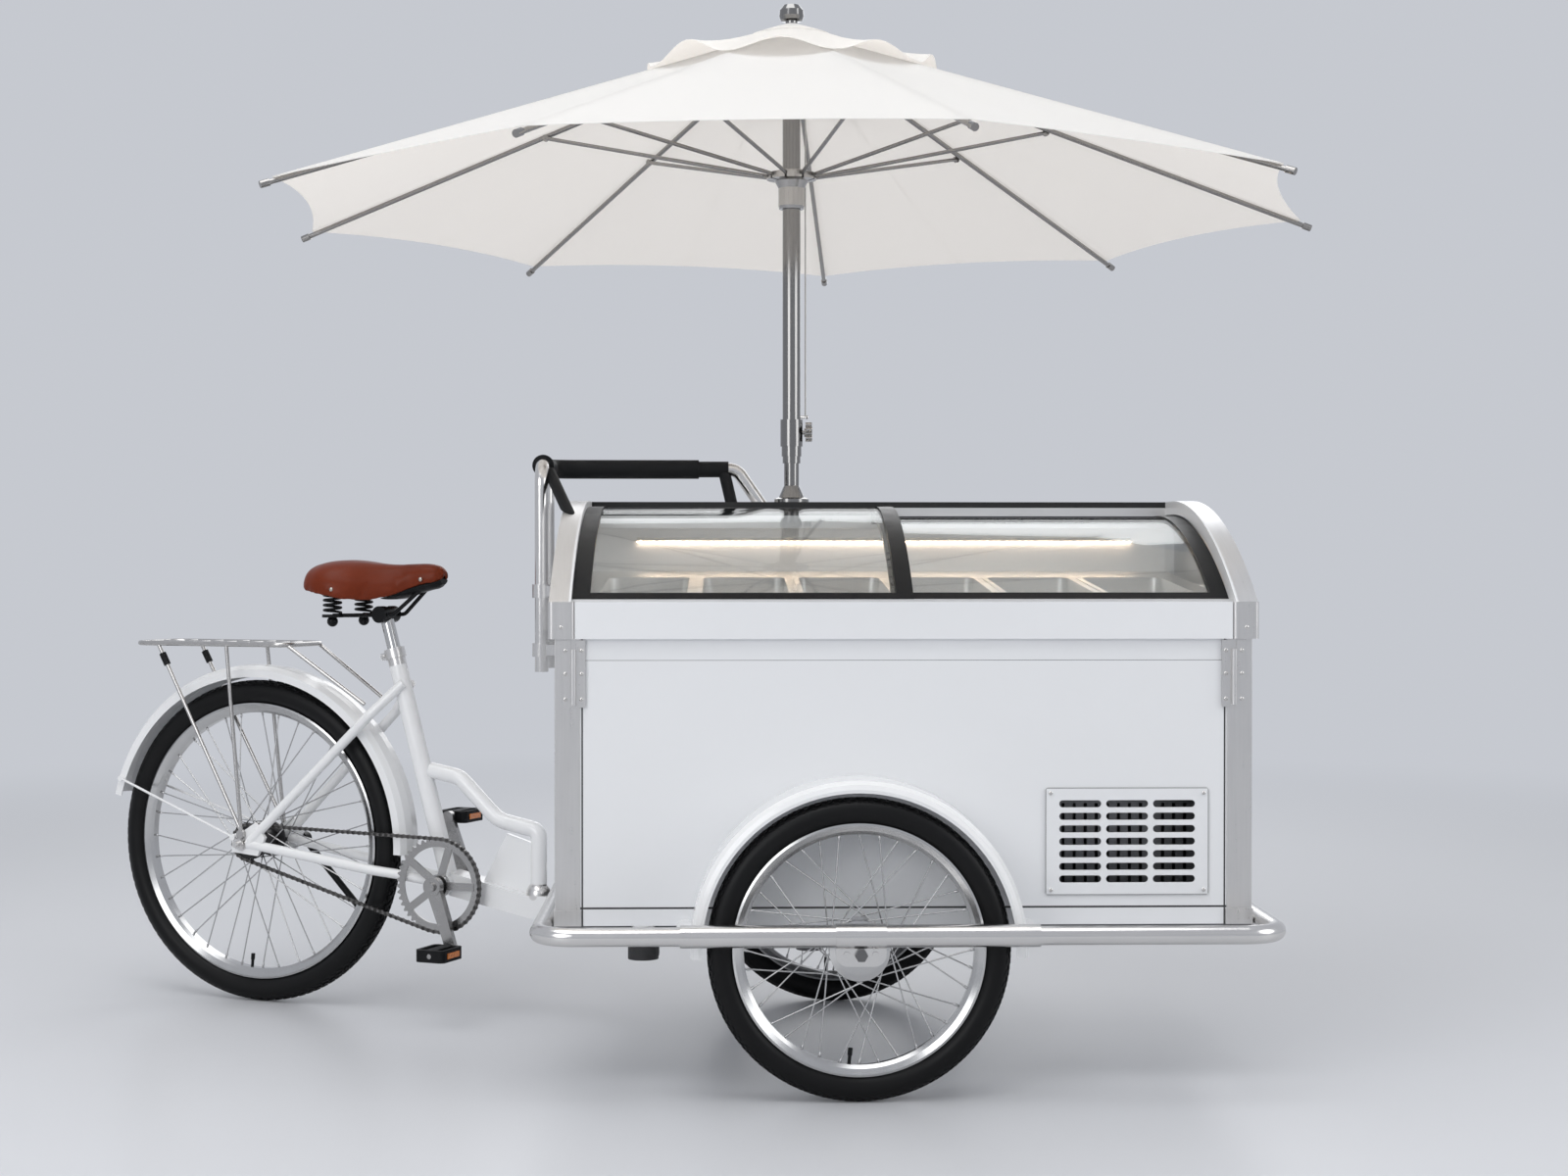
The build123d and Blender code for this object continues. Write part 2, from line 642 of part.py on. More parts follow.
cart_bumper, bumper_room = bumper()
rim, corners = rim_parts()
save("cabinet", cabinet())
save("liner", group([liner(), drain()]))
save("rim_band", rim)
hinges = []
for sx in (-1, 1):
    near = Pos(sx * (BOX_L / 2 - 30), -BOX_W / 2 - POST_T, RIM_Z0 - 60) * hinge()
    hinges.append(near)
    hinges.append(mirror_y(near))
save("corner_trim", group(posts() + corners + hinges))
save("vent_grille", vent_grille())
save("top_housing", group([cheek(), mirror_x(cheek()), hood()]))
left_frame, left_glass = lid(0, -LID_END, LID_LAP)
right_frame, right_glass = lid(1, -LID_LAP, LID_END)
save("lid_frame_left", left_frame)
save("lid_glass_left", left_glass)
save("lid_frame_right", right_frame)
save("lid_glass_right", right_glass)
save("pan_deck", group(pan_deck() + lid_tracks()))
save("pans", group([place * pan() for place in pan_places()]))
save("led_strip", block(LED_X0, LED_X1, HOOD_Y0 - 7, HOOD_Y0, LED_Z - 5, LED_Z + 5))
save("cold_unit", group(cold_unit()))
save("bumper", group(bumper_runs(cart_bumper)))
save("chassis", chassis(bumper_room))
save("front_fenders", group([front_fender(), mirror_y(front_fender())]))


def tooth_disc(teeth, thickness):
    """Chain wheel blank with its teeth, axis along v."""
    pitch_r = LINK * teeth / (2 * math.pi)
    points = []
    for i in range(teeth):
        for share, r in ((0.0, -3.5), (0.3, 2.5), (0.5, 2.5), (0.8, -3.5)):
            a = 2 * math.pi * (i + share) / teeth
            points.append(((pitch_r + r) * math.cos(a), (pitch_r + r) * math.sin(a)))
    face = make_face(Polyline(*points, close=True))
    return across_v(face, -thickness / 2, thickness / 2)


def turned(points):
    """A ring turned about the v axis from (radius, v) points."""
    return revolve(make_face(Polyline(*points, close=True)), axis=Axis.Y)


def tyre(radius, section):
    """Tyre with a rounded crown and a flat seat on the rim."""
    half = section / 2
    ring = Pos(radius - half, 0) * Circle(half)
    seat = Pos(radius - section - 2, 0) * Rectangle(10, section)
    return revolve(ring - seat, axis=Axis.Y)


def wheel_metal(radius, section, rim_depth, hub_points, flange_r, flange_v, spokes):
    """Rim, hub and crossed spokes of a wheel, axis along v."""
    seat = radius - section + 3.0 - FREE / 4
    low = seat - rim_depth
    half = section / 2 - 8
    rim = turned([
        (seat, -half), (seat, half), (seat - 4, half + 1.5), (low + 6, half - 4), (low, half - 9),
        (low, -half + 9), (low + 6, -half + 4), (seat - 4, -half - 1.5),
    ])
    parts = [rim, turned(hub_points)]
    step = 360.0 / spokes
    for i in range(spokes):
        side = 1 if i % 2 else -1
        lean = 55.0 if (i // 2) % 2 else -55.0
        a = math.radians(i * step)
        b = math.radians(i * step + lean)
        start = ((flange_r + WIRE_GAP) * math.cos(b), side * flange_v, (flange_r + WIRE_GAP) * math.sin(b))
        end = ((low - SEAT) * math.cos(a), side * 4.0, (low - SEAT) * math.sin(a))
        parts.append(rod(start, end, SPOKE_R))
    return parts


def front_hub():
    """Drum hub turned in (radius, v), bored for the stub axle."""
    bore = AXLE_R + RUN
    return [
        (bore, -HUB_HALF), (13, -HUB_HALF), (13, -30), (40, -28), (51, -24), (51, -18), (22, -14),
        (22, 14), (51, 18), (51, 24), (40, 28), (13, 30), (13, HUB_HALF), (bore, HUB_HALF),
    ]


def rear_hub():
    bore = AXLE_R + RUN
    return [
        (bore, -54), (20, -54), (20, -38), (36, -36), (36, -31), (24, -27),
        (24, 27), (36, 31), (36, 36), (20, 38), (20, 54), (bore, 54),
    ]


front_tyre = tyre(FRONT_R, FRONT_SECTION)
front_metal = wheel_metal(FRONT_R, FRONT_SECTION, 19.0, front_hub(), 51.0, 21.0, SPOKES)
for side, name in ((-1, "near"), (1, "far")):
    place = Pos(AXLE_X, side * TRACK_Y, FRONT_R)
    save(f"front_tyre_{name}", place * front_tyre)
    save(f"front_wheel_{name}", group([place * item for item in front_metal]))

CYCLE = Pos(PIVOT_X, 0, 0) * Rot(0, 0, -YAW)


def rear_frame():
    """White step-through frame: beam, S-bent tube, seat tube, stays and dropouts."""
    z0 = BEAM_Z1 - BEAM_H
    solid = block(NECK_U - 14, 0, -BEAM_W / 2, BEAM_W / 2, z0, BEAM_Z1)
    rise = make_face(Polyline(
        (BB_U + 12, BB_Z - 22), (NECK_U - 14, z0), (NECK_U - 14, BEAM_Z1), (BB_U + 12, BB_Z + 24), close=True
    ))
    solid += across_v(rise, -BEAM_W / 2, BEAM_W / 2)
    solid += Cylinder(32, BEAM_H + 2, align=(Align.CENTER, Align.CENTER, Align.MIN)).moved(Location((0, 0, z0)))
    shell = Pos(BB_U, 0, BB_Z) * Rot(90, 0, 0) * Cylinder(23, 76)
    solid += shell
    seat_axis = (Vector(COLLAR_U, 0, COLLAR_Z) - Vector(BB_U, 0, BB_Z)).normalized()
    foot = Vector(BB_U, 0, BB_Z) + seat_axis * 10
    top = Vector(COLLAR_U, 0, COLLAR_Z)
    solid += rod(tuple(foot), tuple(top), 18)
    s_tube = pipe(
        [
            (-822, 0, 492), (-756, 0, 480), (-668, 0, 398), (NECK_U, 0, 380), (NECK_U, 0, BEAM_Z1 - 6),
        ],
        [40, 60, 18],
        16,
    )
    solid += s_tube
    solid += Pos(NECK_U, 0, BEAM_Z1) * Sphere(24)
    web = make_face(Polyline((-700, BB_Z + 6), (NECK_U, BEAM_Z1 - 4), (NECK_U, 352), (-646, 372), close=True))
    solid += across_v(web, -4, 4)
    for sv in (-1, 1):
        v = sv * STAY_V
        eye = (REAR_U + 14, v, REAR_R)
        solid += pipe([eye, (-935, sv * 49, 604), (COLLAR_U + 24, sv * 15, COLLAR_Z - 50)], [40], 10)
        solid += pipe(
            [eye, (-932, sv * 46, 290), (-884, sv * 32, 283), (BB_U + 4, sv * 28, BB_Z + 2)], [60, 40], 10
        )
        plate = make_face(Polyline(
            (REAR_U - 22, REAR_R - 18), (REAR_U + 40, REAR_R - 24), (REAR_U + 58, REAR_R + 14),
            (REAR_U + 34, REAR_R + 44), (REAR_U + 6, REAR_R + 26), (REAR_U - 22, REAR_R + 18), close=True,
        ))
        solid += across_v(plate, v - 4, v + 4)
    seat_bore = top - seat_axis * 160
    solid -= rod(tuple(seat_bore), tuple(top + seat_axis * 20), POST_BORE)
    solid -= rod((REAR_U, -90, REAR_R), (REAR_U, 90, REAR_R), AXLE_R)
    solid -= rod((BB_U, -60, BB_Z), (BB_U, 60, BB_Z), SPINDLE_R + RUN)
    solid -= rod((0, 0, z0 - 40), (0, 0, BEAM_Z1 + 40), PIN_R + RUN)
    return solid


def rear_axle():
    """Axle with a nut at each end."""
    end = STAY_V + 4 + NUT_H + AXLE_END
    parts = rod((REAR_U, -end, REAR_R), (REAR_U, end, REAR_R), AXLE_R)
    for sv in (-1, 1):
        nut = Rot(-90 * sv, 0, 0) * extrude(RegularPolygon(12, 6), NUT_H)
        nut = Pos(REAR_U, sv * (STAY_V + 4), REAR_R) * nut
        parts += nut
    return parts


def rear_fender():
    """Rolled mudguard round the rear wheel, with its stays."""
    r = REAR_R + 33
    w = 34
    t = 1.8
    profile = Polyline(
        (r - 26, -w), (r - 10, -w), (r - 2, -w + 12), (r, 0), (r - 2, w - 12), (r - 10, w), (r - 26, w),
        (r - 26, w - t), (r - 10 - t, w - t), (r - 2 - t, w - 12 - t), (r - t, 0), (r - 2 - t, -w + 12 + t),
        (r - 10 - t, -w + t), (r - 26, -w + t), close=True,
    )
    shell = revolve(make_face(profile), axis=Axis.Y, revolution_arc=168)
    shell = Pos(REAR_U, 0, REAR_R) * Rot(0, 194, 0) * shell
    angle = math.radians(160)
    for sv in (-1, 1):
        hook = (REAR_U + (r - 16) * math.cos(angle), sv * (w + 2.5), REAR_R + (r - 16) * math.sin(angle))
        foot = (REAR_U - 17, sv * (STAY_V + 8), REAR_R + 13)
        shell += rod(hook, foot, 2.5)
        shell += rod((foot[0], sv * (STAY_V + 4 + SEAT), foot[2]), (foot[0], sv * (STAY_V + 11), foot[2]), 6.5)
        shell += Pos(*hook) * Rot(90, 0, 0) * Cylinder(6, 6)
    return shell


def rack():
    """Rod-built carrier: platform, legs to the dropouts and struts to the stays."""
    z = 742.0
    u0 = -1495.0
    u1 = -1120.0
    half = 72.0
    r = 5.0
    loop = Pos((u0 + u1) / 2, 0, z) * RectangleRounded(u1 - u0, 2 * half, 30)
    path = loop.face().outer_wire()
    solid = sweep(Plane(origin=path @ 0, z_dir=path % 0) * Circle(r), path=path)
    for i in range(5):
        u = u0 + 55 + i * 66
        solid += rod((u, -half, z), (u, half, z), 4)
    for v in (-24, 24):
        solid += rod((u0, v, z), (u1, v, z), 4)
    for sv in (-1, 1):
        foot = (REAR_U + 4, sv * (STAY_V + 9), REAR_R + 26)
        solid += rod((u0 + 60, sv * half, z), foot, 4)
        solid += rod((u0 + 230, sv * half, z), foot, 4)
        solid += Pos(REAR_U + 4, sv * (STAY_V + 9), REAR_R + 20) * Rot(90, 0, 0) * Cylinder(9, 9)
        brace = (COLLAR_U - 48, sv * 44, COLLAR_Z - 92)
        solid += rod((u1 - 8, sv * half * 0.8, z), brace, 4)
    return solid


def chain():
    """Roller chain as one grooved loop, teeth run in the groove."""
    def loop(grow):
        big = Pos(BB_U, BB_Z) * Circle(LINK * RING_TEETH / (2 * math.pi) + grow)
        small = Pos(REAR_U, REAR_R) * Circle(LINK * COG_TEETH / (2 * math.pi) + grow)
        return make_hull(big.edges() + small.edges())
    band = across_v(loop(4.5) - loop(-4.5), CHAIN_V - 4, CHAIN_V + 4)
    groove = across_v(loop(3.3) - loop(-6), CHAIN_V - 1.8, CHAIN_V + 1.8)
    return band - groove


def crankset():
    """Chainring with five-arm spider, spindle and both cranks."""
    pitch_r = LINK * RING_TEETH / (2 * math.pi)
    ring = tooth_disc(RING_TEETH, 2.4) - Rot(90, 0, 0) * Cylinder(pitch_r - 16, 10)
    spider = Rot(90, 0, 0) * Cylinder(22, 6)
    for i in range(5):
        arm = Rot(0, 72 * i, 0) * Pos((pitch_r - 12) / 2, 0, 0) * Box(pitch_r - 12, 5, 15)
        spider += arm
    window = Rot(90, 0, 0) * Cylinder(SPINDLE_R, 20)
    solid = Pos(BB_U, CHAIN_V, BB_Z) * (ring + spider - window)
    solid += rod((BB_U, CRANK_V0 - 14, BB_Z), (BB_U, -CRANK_V0 + 14, BB_Z), SPINDLE_R)
    a = math.radians(-90 + CRANK_TILT)
    for sv in (-1, 1):
        u1 = BB_U - sv * CRANK_L * math.cos(a)
        z1 = BB_Z - sv * CRANK_L * math.sin(a)
        v = sv * -CRANK_V0
        arm = loft([
            Plane(origin=(BB_U, v, BB_Z), z_dir=(u1 - BB_U, 0, z1 - BB_Z), x_dir=(0, 1, 0)) * Rectangle(13, 30),
            Plane(origin=(u1, v, z1), z_dir=(u1 - BB_U, 0, z1 - BB_Z), x_dir=(0, 1, 0)) * Rectangle(11, 22),
        ])
        solid += arm
        solid += rod((BB_U, v - 8, BB_Z), (BB_U, v + 8, BB_Z), 19)
        solid += rod((u1, v - 6.5, z1), (u1, v + 6.5, z1), 13)
        solid += rod((u1, v, z1), (u1, v + sv * 88, z1), PEDAL_PIN)
    return solid


def pedal_place(sv):
    a = math.radians(-90 + CRANK_TILT)
    u1 = BB_U - sv * CRANK_L * math.cos(a)
    z1 = BB_Z - sv * CRANK_L * math.sin(a)
    return u1, sv * -CRANK_V0, z1


def pedal(sv):
    """Platform pedal: barrel on the pin, cage with two open windows, reflector bars."""
    u, v, z = pedal_place(sv)
    mid = v + sv * 50
    body = Pos(u, mid, z) * Box(64, 78, 24)
    body = fillet(body.edges().filter_by(Axis.Z), 10)
    for su in (-1, 1):
        body -= Pos(u + su * 18, mid, z) * Box(13, 58, 30)
    body -= rod((u, v, z), (u, v + sv * 120, z), PEDAL_PIN + RUN)
    return body


def kickstand():
    """Side stand on the far dropout, leg and shoe."""
    v = STAY_V + 20
    top = (REAR_U + 46, v, REAR_R - 4)
    foot = (REAR_U + 176, v + 26, REAR_R - 158)
    leg = rod(top, foot, 7)
    leg += rod((top[0], STAY_V + 8.6 + FREE, top[2]), (top[0], v + 8, top[2]), 14)
    shoe = Plane(origin=foot, z_dir=Vector(*foot) - Vector(*top)) * Box(34, 20, 26)
    leg += shoe
    return leg


def seatpost():
    axis = (Vector(COLLAR_U, 0, COLLAR_Z) - Vector(BB_U, 0, BB_Z)).normalized()
    top = Vector(COLLAR_U, 0, COLLAR_Z)
    return rod(tuple(top - axis * 130), tuple(top + axis * 88), POST_OUT)


def seat_collar():
    """Split clamp ring with its bolt lug behind the tube."""
    axis = (Vector(COLLAR_U, 0, COLLAR_Z) - Vector(BB_U, 0, BB_Z)).normalized()
    base = Plane(origin=(COLLAR_U, 0, COLLAR_Z), z_dir=axis, x_dir=(0, 1, 0))
    ring = extrude(base * (Circle(21) - Circle(POST_OUT + SEAT)), LOCK_H)
    lug = base * Pos(0, 24, LOCK_H / 2) * Box(16, 14, 14)
    slit = base * Pos(0, 24, LOCK_H / 2) * Box(3, 24, 40)
    bolt = base * Pos(0, 26, LOCK_H / 2) * Rot(0, 90, 0) * Cylinder(3.5, 26)
    return ring + lug - slit + bolt


def saddle_form(inset, stations):
    """Loft through the saddle's sections, drawn in by an inset."""
    faces = []
    for du, half, low, high in stations:
        w = half - inset
        side = low + (high - low) * 0.45
        edges = [
            Line((-w * 0.96, low), (w * 0.96, low)),
            Line((w * 0.96, low), (w, side)),
            ThreePointArc((w, side), (0, high - inset), (-w, side)),
            Line((-w, side), (-w * 0.96, low)),
        ]
        place = Plane(origin=(SADDLE_U + du, 0, SADDLE_Z), x_dir=(0, 1, 0), z_dir=(1, 0, 0))
        faces.append(place * make_face(edges))
    return loft(faces)


def saddle():
    """Leather saddle lofted through its cross sections, hollow between the skirts."""
    under = [(du, half, low - 4, high) for du, half, low, high in SADDLE_STATIONS[1:8]]
    pocket = saddle_form(SADDLE_SKIRT, under)
    top = SADDLE_Z + SADDLE_PAN
    pocket &= block(SADDLE_U - 200, SADDLE_U + 200, -200, 200, top - 100, top)
    return saddle_form(0, SADDLE_STATIONS) - pocket


def biarc(p0, t0, p1, t1):
    """Two arcs that leave p0 along t0 and reach p1 along t1."""
    gap = p1 - p0
    both = t0 + t1
    a = 2 * (1 - t0.dot(t1))
    b = 2 * gap.dot(both)
    d = (-b + math.sqrt(b * b + 4 * a * gap.dot(gap))) / (2 * a)
    joint = (p0 + p1 + (t0 - t1) * d) * 0.5
    first = TangentArc(p0, joint, tangent=t0)
    return [first, TangentArc(joint, p1, tangent=first % 1)]


def coil(centre, radius, pitch, turns):
    """One unbroken spring wire on arcs of a quarter turn."""
    def at(k):
        a = math.pi / 2 * k
        p = Vector(radius * math.cos(a), radius * math.sin(a), pitch * k / 4)
        t = Vector(-radius * math.sin(a), radius * math.cos(a), pitch / (2 * math.pi))
        return centre + p, t.normalized()
    edges = []
    for k in range(4 * turns):
        p0, t0 = at(k)
        p1, t1 = at(k + 1)
        edges.extend(biarc(p0, t0, p1, t1))
    path = Wire(edges)
    start, tangent = at(0)
    wire = sweep(Plane(origin=start, z_dir=tangent) * Circle(WIRE_R), path=path)
    print("spring wire gap", round(pitch - 2 * WIRE_R, 2))
    return wire


def saddle_frame():
    """Clamp, rails and the plates that hold the two springs."""
    axis = (Vector(COLLAR_U, 0, COLLAR_Z) - Vector(BB_U, 0, BB_Z)).normalized()
    head = Vector(COLLAR_U, 0, COLLAR_Z) + axis * 88
    hu, hz = head.X, head.Z
    clamp = Pos(hu, 0, hz + 4) * Rot(90, 0, 0) * Cylinder(17, 58)
    clamp -= Plane(origin=tuple(head), z_dir=axis) * Cylinder(POST_OUT + SEAT, 60)
    low = SPRING_LOW + 2
    back = SADDLE_U - 92
    solid = [clamp]
    for sv in (-1, 1):
        rail = pipe(
            [
                (back, sv * SPRING_V, low - 4), (hu - 34, sv * 22, low - 4), (hu + 30, sv * 22, hz + 4),
                (SADDLE_U + 84, sv * 12, SADDLE_Z - 8.5),
            ],
            [18, 18],
            4,
        )
        solid.append(rail)
        solid.append(Pos(back, sv * SPRING_V, low - 5) * Cylinder(SPRING_R + 4, 6))
        solid.append(Pos(back, sv * SPRING_V, low - 16) * Sphere(11))
        solid.append(Pos(back, sv * SPRING_V, SPRING_TOP + 1.5) * Cylinder(SPRING_R + 4, 3))
    joined = solid[0]
    for item in solid[1:]:
        joined = joined + item
    return joined


def springs():
    base = SPRING_LOW + WIRE_R + SEAT
    return [
        coil(Vector(SADDLE_U - 92, sv * SPRING_V, base), SPRING_R, SPRING_PITCH, SPRING_TURNS) for sv in (-1, 1)
    ]


rear_tyre = tyre(REAR_R, REAR_SECTION)
rear_metal = wheel_metal(REAR_R, REAR_SECTION, 20.0, rear_hub(), 36.0, 33.5, SPOKES)
cog = tooth_disc(COG_TEETH, 2.4) - Rot(90, 0, 0) * Cylinder(20, 10)
AXLE = CYCLE * Pos(REAR_U, 0, REAR_R)
save("rear_tyre", AXLE * rear_tyre)
save("rear_wheel", group([AXLE * item for item in rear_metal + [Pos(0, CHAIN_V, 0) * cog]]))
save("rear_frame", group([CYCLE * rear_frame(), CYCLE * rear_axle(), CYCLE * seat_collar()]))
save("rear_fender", CYCLE * rear_fender())
save("rack", CYCLE * rack())
save("chain", CYCLE * chain())
save("crankset", CYCLE * crankset())
save("pedal_near", CYCLE * pedal(-1))
save("pedal_far", CYCLE * pedal(1))
save("kickstand", CYCLE * kickstand())
save("seatpost", CYCLE * seatpost())
save("saddle", CYCLE * saddle())
save("saddle_springs", group([CYCLE * item for item in [saddle_frame()] + springs()]))

MAST = Pos(MAST_X, MAST_Y, 0)
RIB_DROP = (HUB_Z - TIP_Z) / (TIP_R - HUB_R)
RIB_AXIS = Vector(TIP_R - HUB_R, 0, TIP_Z - HUB_Z).normalized()


def turn(k):
    """Placement of the k-th rib about the mast."""
    return MAST * Rot(0, 0, FIRST_RIB + 360.0 / RIBS * k)


def rib():
    """Canopy rib along +X: blade in the hub slot, tube and tip ferrule."""
    pivot = Vector(HUB_R, 0, HUB_Z)
    tip = Vector(TIP_R, 0, TIP_Z)
    tube = rod(tuple(pivot + RIB_AXIS * 16), tuple(tip), RIB_R)
    ferrule = rod(tuple(tip - RIB_AXIS * 10), tuple(tip + RIB_AXIS * 8), RIB_R + 2)
    blade = Plane(origin=tuple(pivot), x_dir=RIB_AXIS, z_dir=(0, -1, 0)) * Pos(11, 0, 0) * Box(22, 9, BLADE_T)
    eye = Pos(*tuple(pivot)) * Rot(90, 0, 0) * Cylinder(4.5, BLADE_T)
    return tube + ferrule + blade + eye


def strut():
    """Stretcher beside its rib, from the runner slot to mid rib."""
    start = Vector(RUNNER_R, STRUT_SIDE, RUNNER_Z)
    below = Vector(RIB_AXIS.Z, 0, -RIB_AXIS.X) * STRUT_BELOW
    end = Vector(HUB_R, STRUT_SIDE, HUB_Z) + RIB_AXIS * STRUT_AT + below
    axis = (end - start).normalized()
    tube = rod(tuple(start + axis * 14), tuple(end), STRUT_R)
    eye = Pos(*tuple(end)) * Rot(90, 0, 0) * Cylinder(7, 1.6 * STRUT_R)
    blade = Plane(origin=tuple(start), x_dir=axis, z_dir=(0, -1, 0)) * Pos(10, 0, 0) * Box(20, 7, BLADE_T)
    root = Pos(*tuple(start)) * Rot(90, 0, 0) * Cylinder(4.5, BLADE_T)
    return tube + eye + blade + root


def mast_upper():
    """Sliding upper mast with its hub, finial and clamp collar."""
    z0 = MAST_FOOT
    bore = POST_R + FREE
    outline = Polyline(
        (bore, z0), (MAST_R, z0), (MAST_R, z0 + 14), (20, z0 + 14), (20, z0 + 34), (22.5, z0 + 34),
        (22.5, z0 + 88), (MAST_R, z0 + 88), (MAST_R, HUB_Z - 22), (24, HUB_Z - 14), (HUB_R + 6, HUB_Z - 8),
        (HUB_R + 6, HUB_Z + 8), (12, HUB_Z + 10), (12, CAP_Z + 8), (22, CAP_Z + 10), (25, CAP_Z + 18),
        (24, CAP_Z + 30), (16, CAP_Z + 40), (0, CAP_Z + 43), (0, HUB_Z - 40), (bore, HUB_Z - 40), close=True,
    )
    body = revolve(Plane.XZ * make_face(outline), axis=Axis.Z)
    slot = Pos(HUB_R + 4, 0, HUB_Z) * Box(28, BLADE_T + 2 * SLOT_GAP, 40)
    for k in range(RIBS):
        body -= Rot(0, 0, FIRST_RIB + 360.0 / RIBS * k) * slot
    body -= Pos(20, 0, KNOB_Z) * Rot(0, 90, 0) * Cylinder(KNOB_SHANK + RUN, 12)
    return MAST * body


def knob():
    """Five-lobed clamp knob on its screw."""
    star = Circle(14)
    for i in range(5):
        star += Rot(0, 0, 72 * i) * Pos(15, 0) * Circle(6)
    head = extrude(star, 13)
    face = Plane(origin=(25.5, 0, KNOB_Z), z_dir=(1, 0, 0))
    boss = extrude(face * Circle(9), 4)
    shank = rod((POST_R + FREE + 1, 0, KNOB_Z), (27, 0, KNOB_Z), KNOB_SHANK)
    return MAST * (Plane(origin=(28, 0, KNOB_Z), z_dir=(1, 0, 0)) * head + boss + shank)


def mast_lower():
    """Fixed socket tube with its flared foot on the back housing."""
    z0 = HOOD_Z1
    outline = Polyline(
        (0, z0), (35, z0), (35, z0 + 7), (26, z0 + 10), (POST_R + 2, z0 + 30), (POST_R, z0 + 34),
        (POST_R, z0 + 470), (0, z0 + 470), close=True,
    )
    return MAST * revolve(Plane.XZ * make_face(outline), axis=Axis.Z)


def runner():
    """Sliding hub with a slot for each stretcher and a hole for the cord."""
    bore = MAST_R + FREE
    z = RUNNER_Z
    outline = Polyline(
        (bore, z - 66), (25, z - 66), (26.5, z - 60), (26.5, z - 24), (34, z - 10), (RUNNER_R + 8, z - 7),
        (RUNNER_R + 8, z + 6), (30, z + 6), (28, z + 12), (bore, z + 12), close=True,
    )
    body = revolve(Plane.XZ * make_face(outline), axis=Axis.Z)
    slot = Pos(RUNNER_R + 6, STRUT_SIDE, z) * Box(30, BLADE_T + 2 * SLOT_GAP, 50)
    for k in range(RIBS):
        body -= Rot(0, 0, FIRST_RIB + 360.0 / RIBS * k) * slot
    hole = Rot(0, 0, CORD_TURN) * Pos(CORD_OUT, 0, z) * Cylinder(CORD_R + 1.2, 160)
    return MAST * (body - hole)


def pull_cord():
    """Opening cord from the hub's rim, through the runner, down to the collar."""
    start = MAST_FOOT + 88
    line = rod((CORD_OUT, 0, start + 6), (CORD_OUT, 0, HUB_Z - 12.2), CORD_R)
    knot = Pos(CORD_OUT, 0, HUB_Z - 18) * Sphere(4)
    peg = rod((MAST_R + SEAT, 0, start + 6), (CORD_OUT + 4, 0, start + 6), 3)
    return MAST * Rot(0, 0, CORD_TURN) * (line + knot + peg)


def gore(inner_r, apex_z, tip_r, tip_z, scallop, k):
    """One flat cloth panel between two ribs, its free edge cut in an arc."""
    step = 360.0 / RIBS
    angles = [math.radians(FIRST_RIB + step * k), math.radians(FIRST_RIB + step * (k + 1))]
    fall = (apex_z - tip_z) / tip_r
    rings = []
    for r in (inner_r, tip_r):
        rings.append([Vector(r * math.cos(a), r * math.sin(a), apex_z - fall * r) for a in angles])
    mid = (angles[0] + angles[1]) / 2
    chord = tip_r * math.cos(math.radians(step / 2))
    r = chord - scallop
    dip = Vector(r * math.cos(mid), r * math.sin(mid), apex_z - fall * tip_r * r / chord)
    edges = [
        Line(rings[0][0], rings[1][0]),
        ThreePointArc(rings[1][0], dip, rings[1][1]),
        Line(rings[1][1], rings[0][1]),
        Line(rings[0][1], rings[0][0]),
    ]
    face = Face(Wire(edges))
    down = face.normal_at()
    if down.Z > 0:
        down = down * -1
    return extrude(face, CLOTH, dir=tuple(down))


def canopy():
    """Sewn cover of flat panels and the small vent cap above it."""
    lift = (RIB_R + FREE + CLOTH) / math.cos(math.atan(RIB_DROP))
    apex = HUB_Z + RIB_DROP * HUB_R + lift
    edge = TIP_R - 14
    cover = gore(64, apex, edge, apex - RIB_DROP * edge, SCALLOP, 0)
    cap = gore(14, CAP_Z, CAP_R, CAP_EDGE_Z, 20, 0)
    for k in range(1, RIBS):
        cover += gore(64, apex, edge, apex - RIB_DROP * edge, SCALLOP, k)
        cap += gore(14, CAP_Z, CAP_R, CAP_EDGE_Z, 20, k)
    return group([MAST * cover, MAST * cap])


def handle():
    """Bent push handle with two legs clamped to the rear end."""
    x = HANDLE_X0
    y0 = HANDLE_FOOT_Y
    y1 = HANDLE_Y
    z0 = HANDLE_LOW_Z
    bar = pipe(
        [
            (x, y0, z0), (x, y0, HANDLE_Z), (x, y1, HANDLE_Z), (HANDLE_X1 - 24, y1, HANDLE_Z),
            (HANDLE_X1 + 28, y1, HOOD_Z1 - 8),
        ],
        [40, 45, 30],
        HANDLE_TUBE,
    )
    bar -= block(HANDLE_X1 - 138, 0, y1 - 141, y1 + 159, HOOD_Z1 - 40, HOOD_Z1)
    bar += rod((x, y0 + HANDLE_LEGS, z0), (x, y0 + HANDLE_LEGS, HANDLE_Z), HANDLE_TUBE)
    for y in (y0, y0 + HANDLE_LEGS):
        for z, wall in zip(BRACKET_Z, (RIM_L / 2, BOX_L / 2)):
            bar += block(x, -wall, y - 15, y + 15, z - 10, z + 10)
            bar += rod((x, y, z - 13), (x, y, z + 13), HANDLE_TUBE + 5)
    return bar


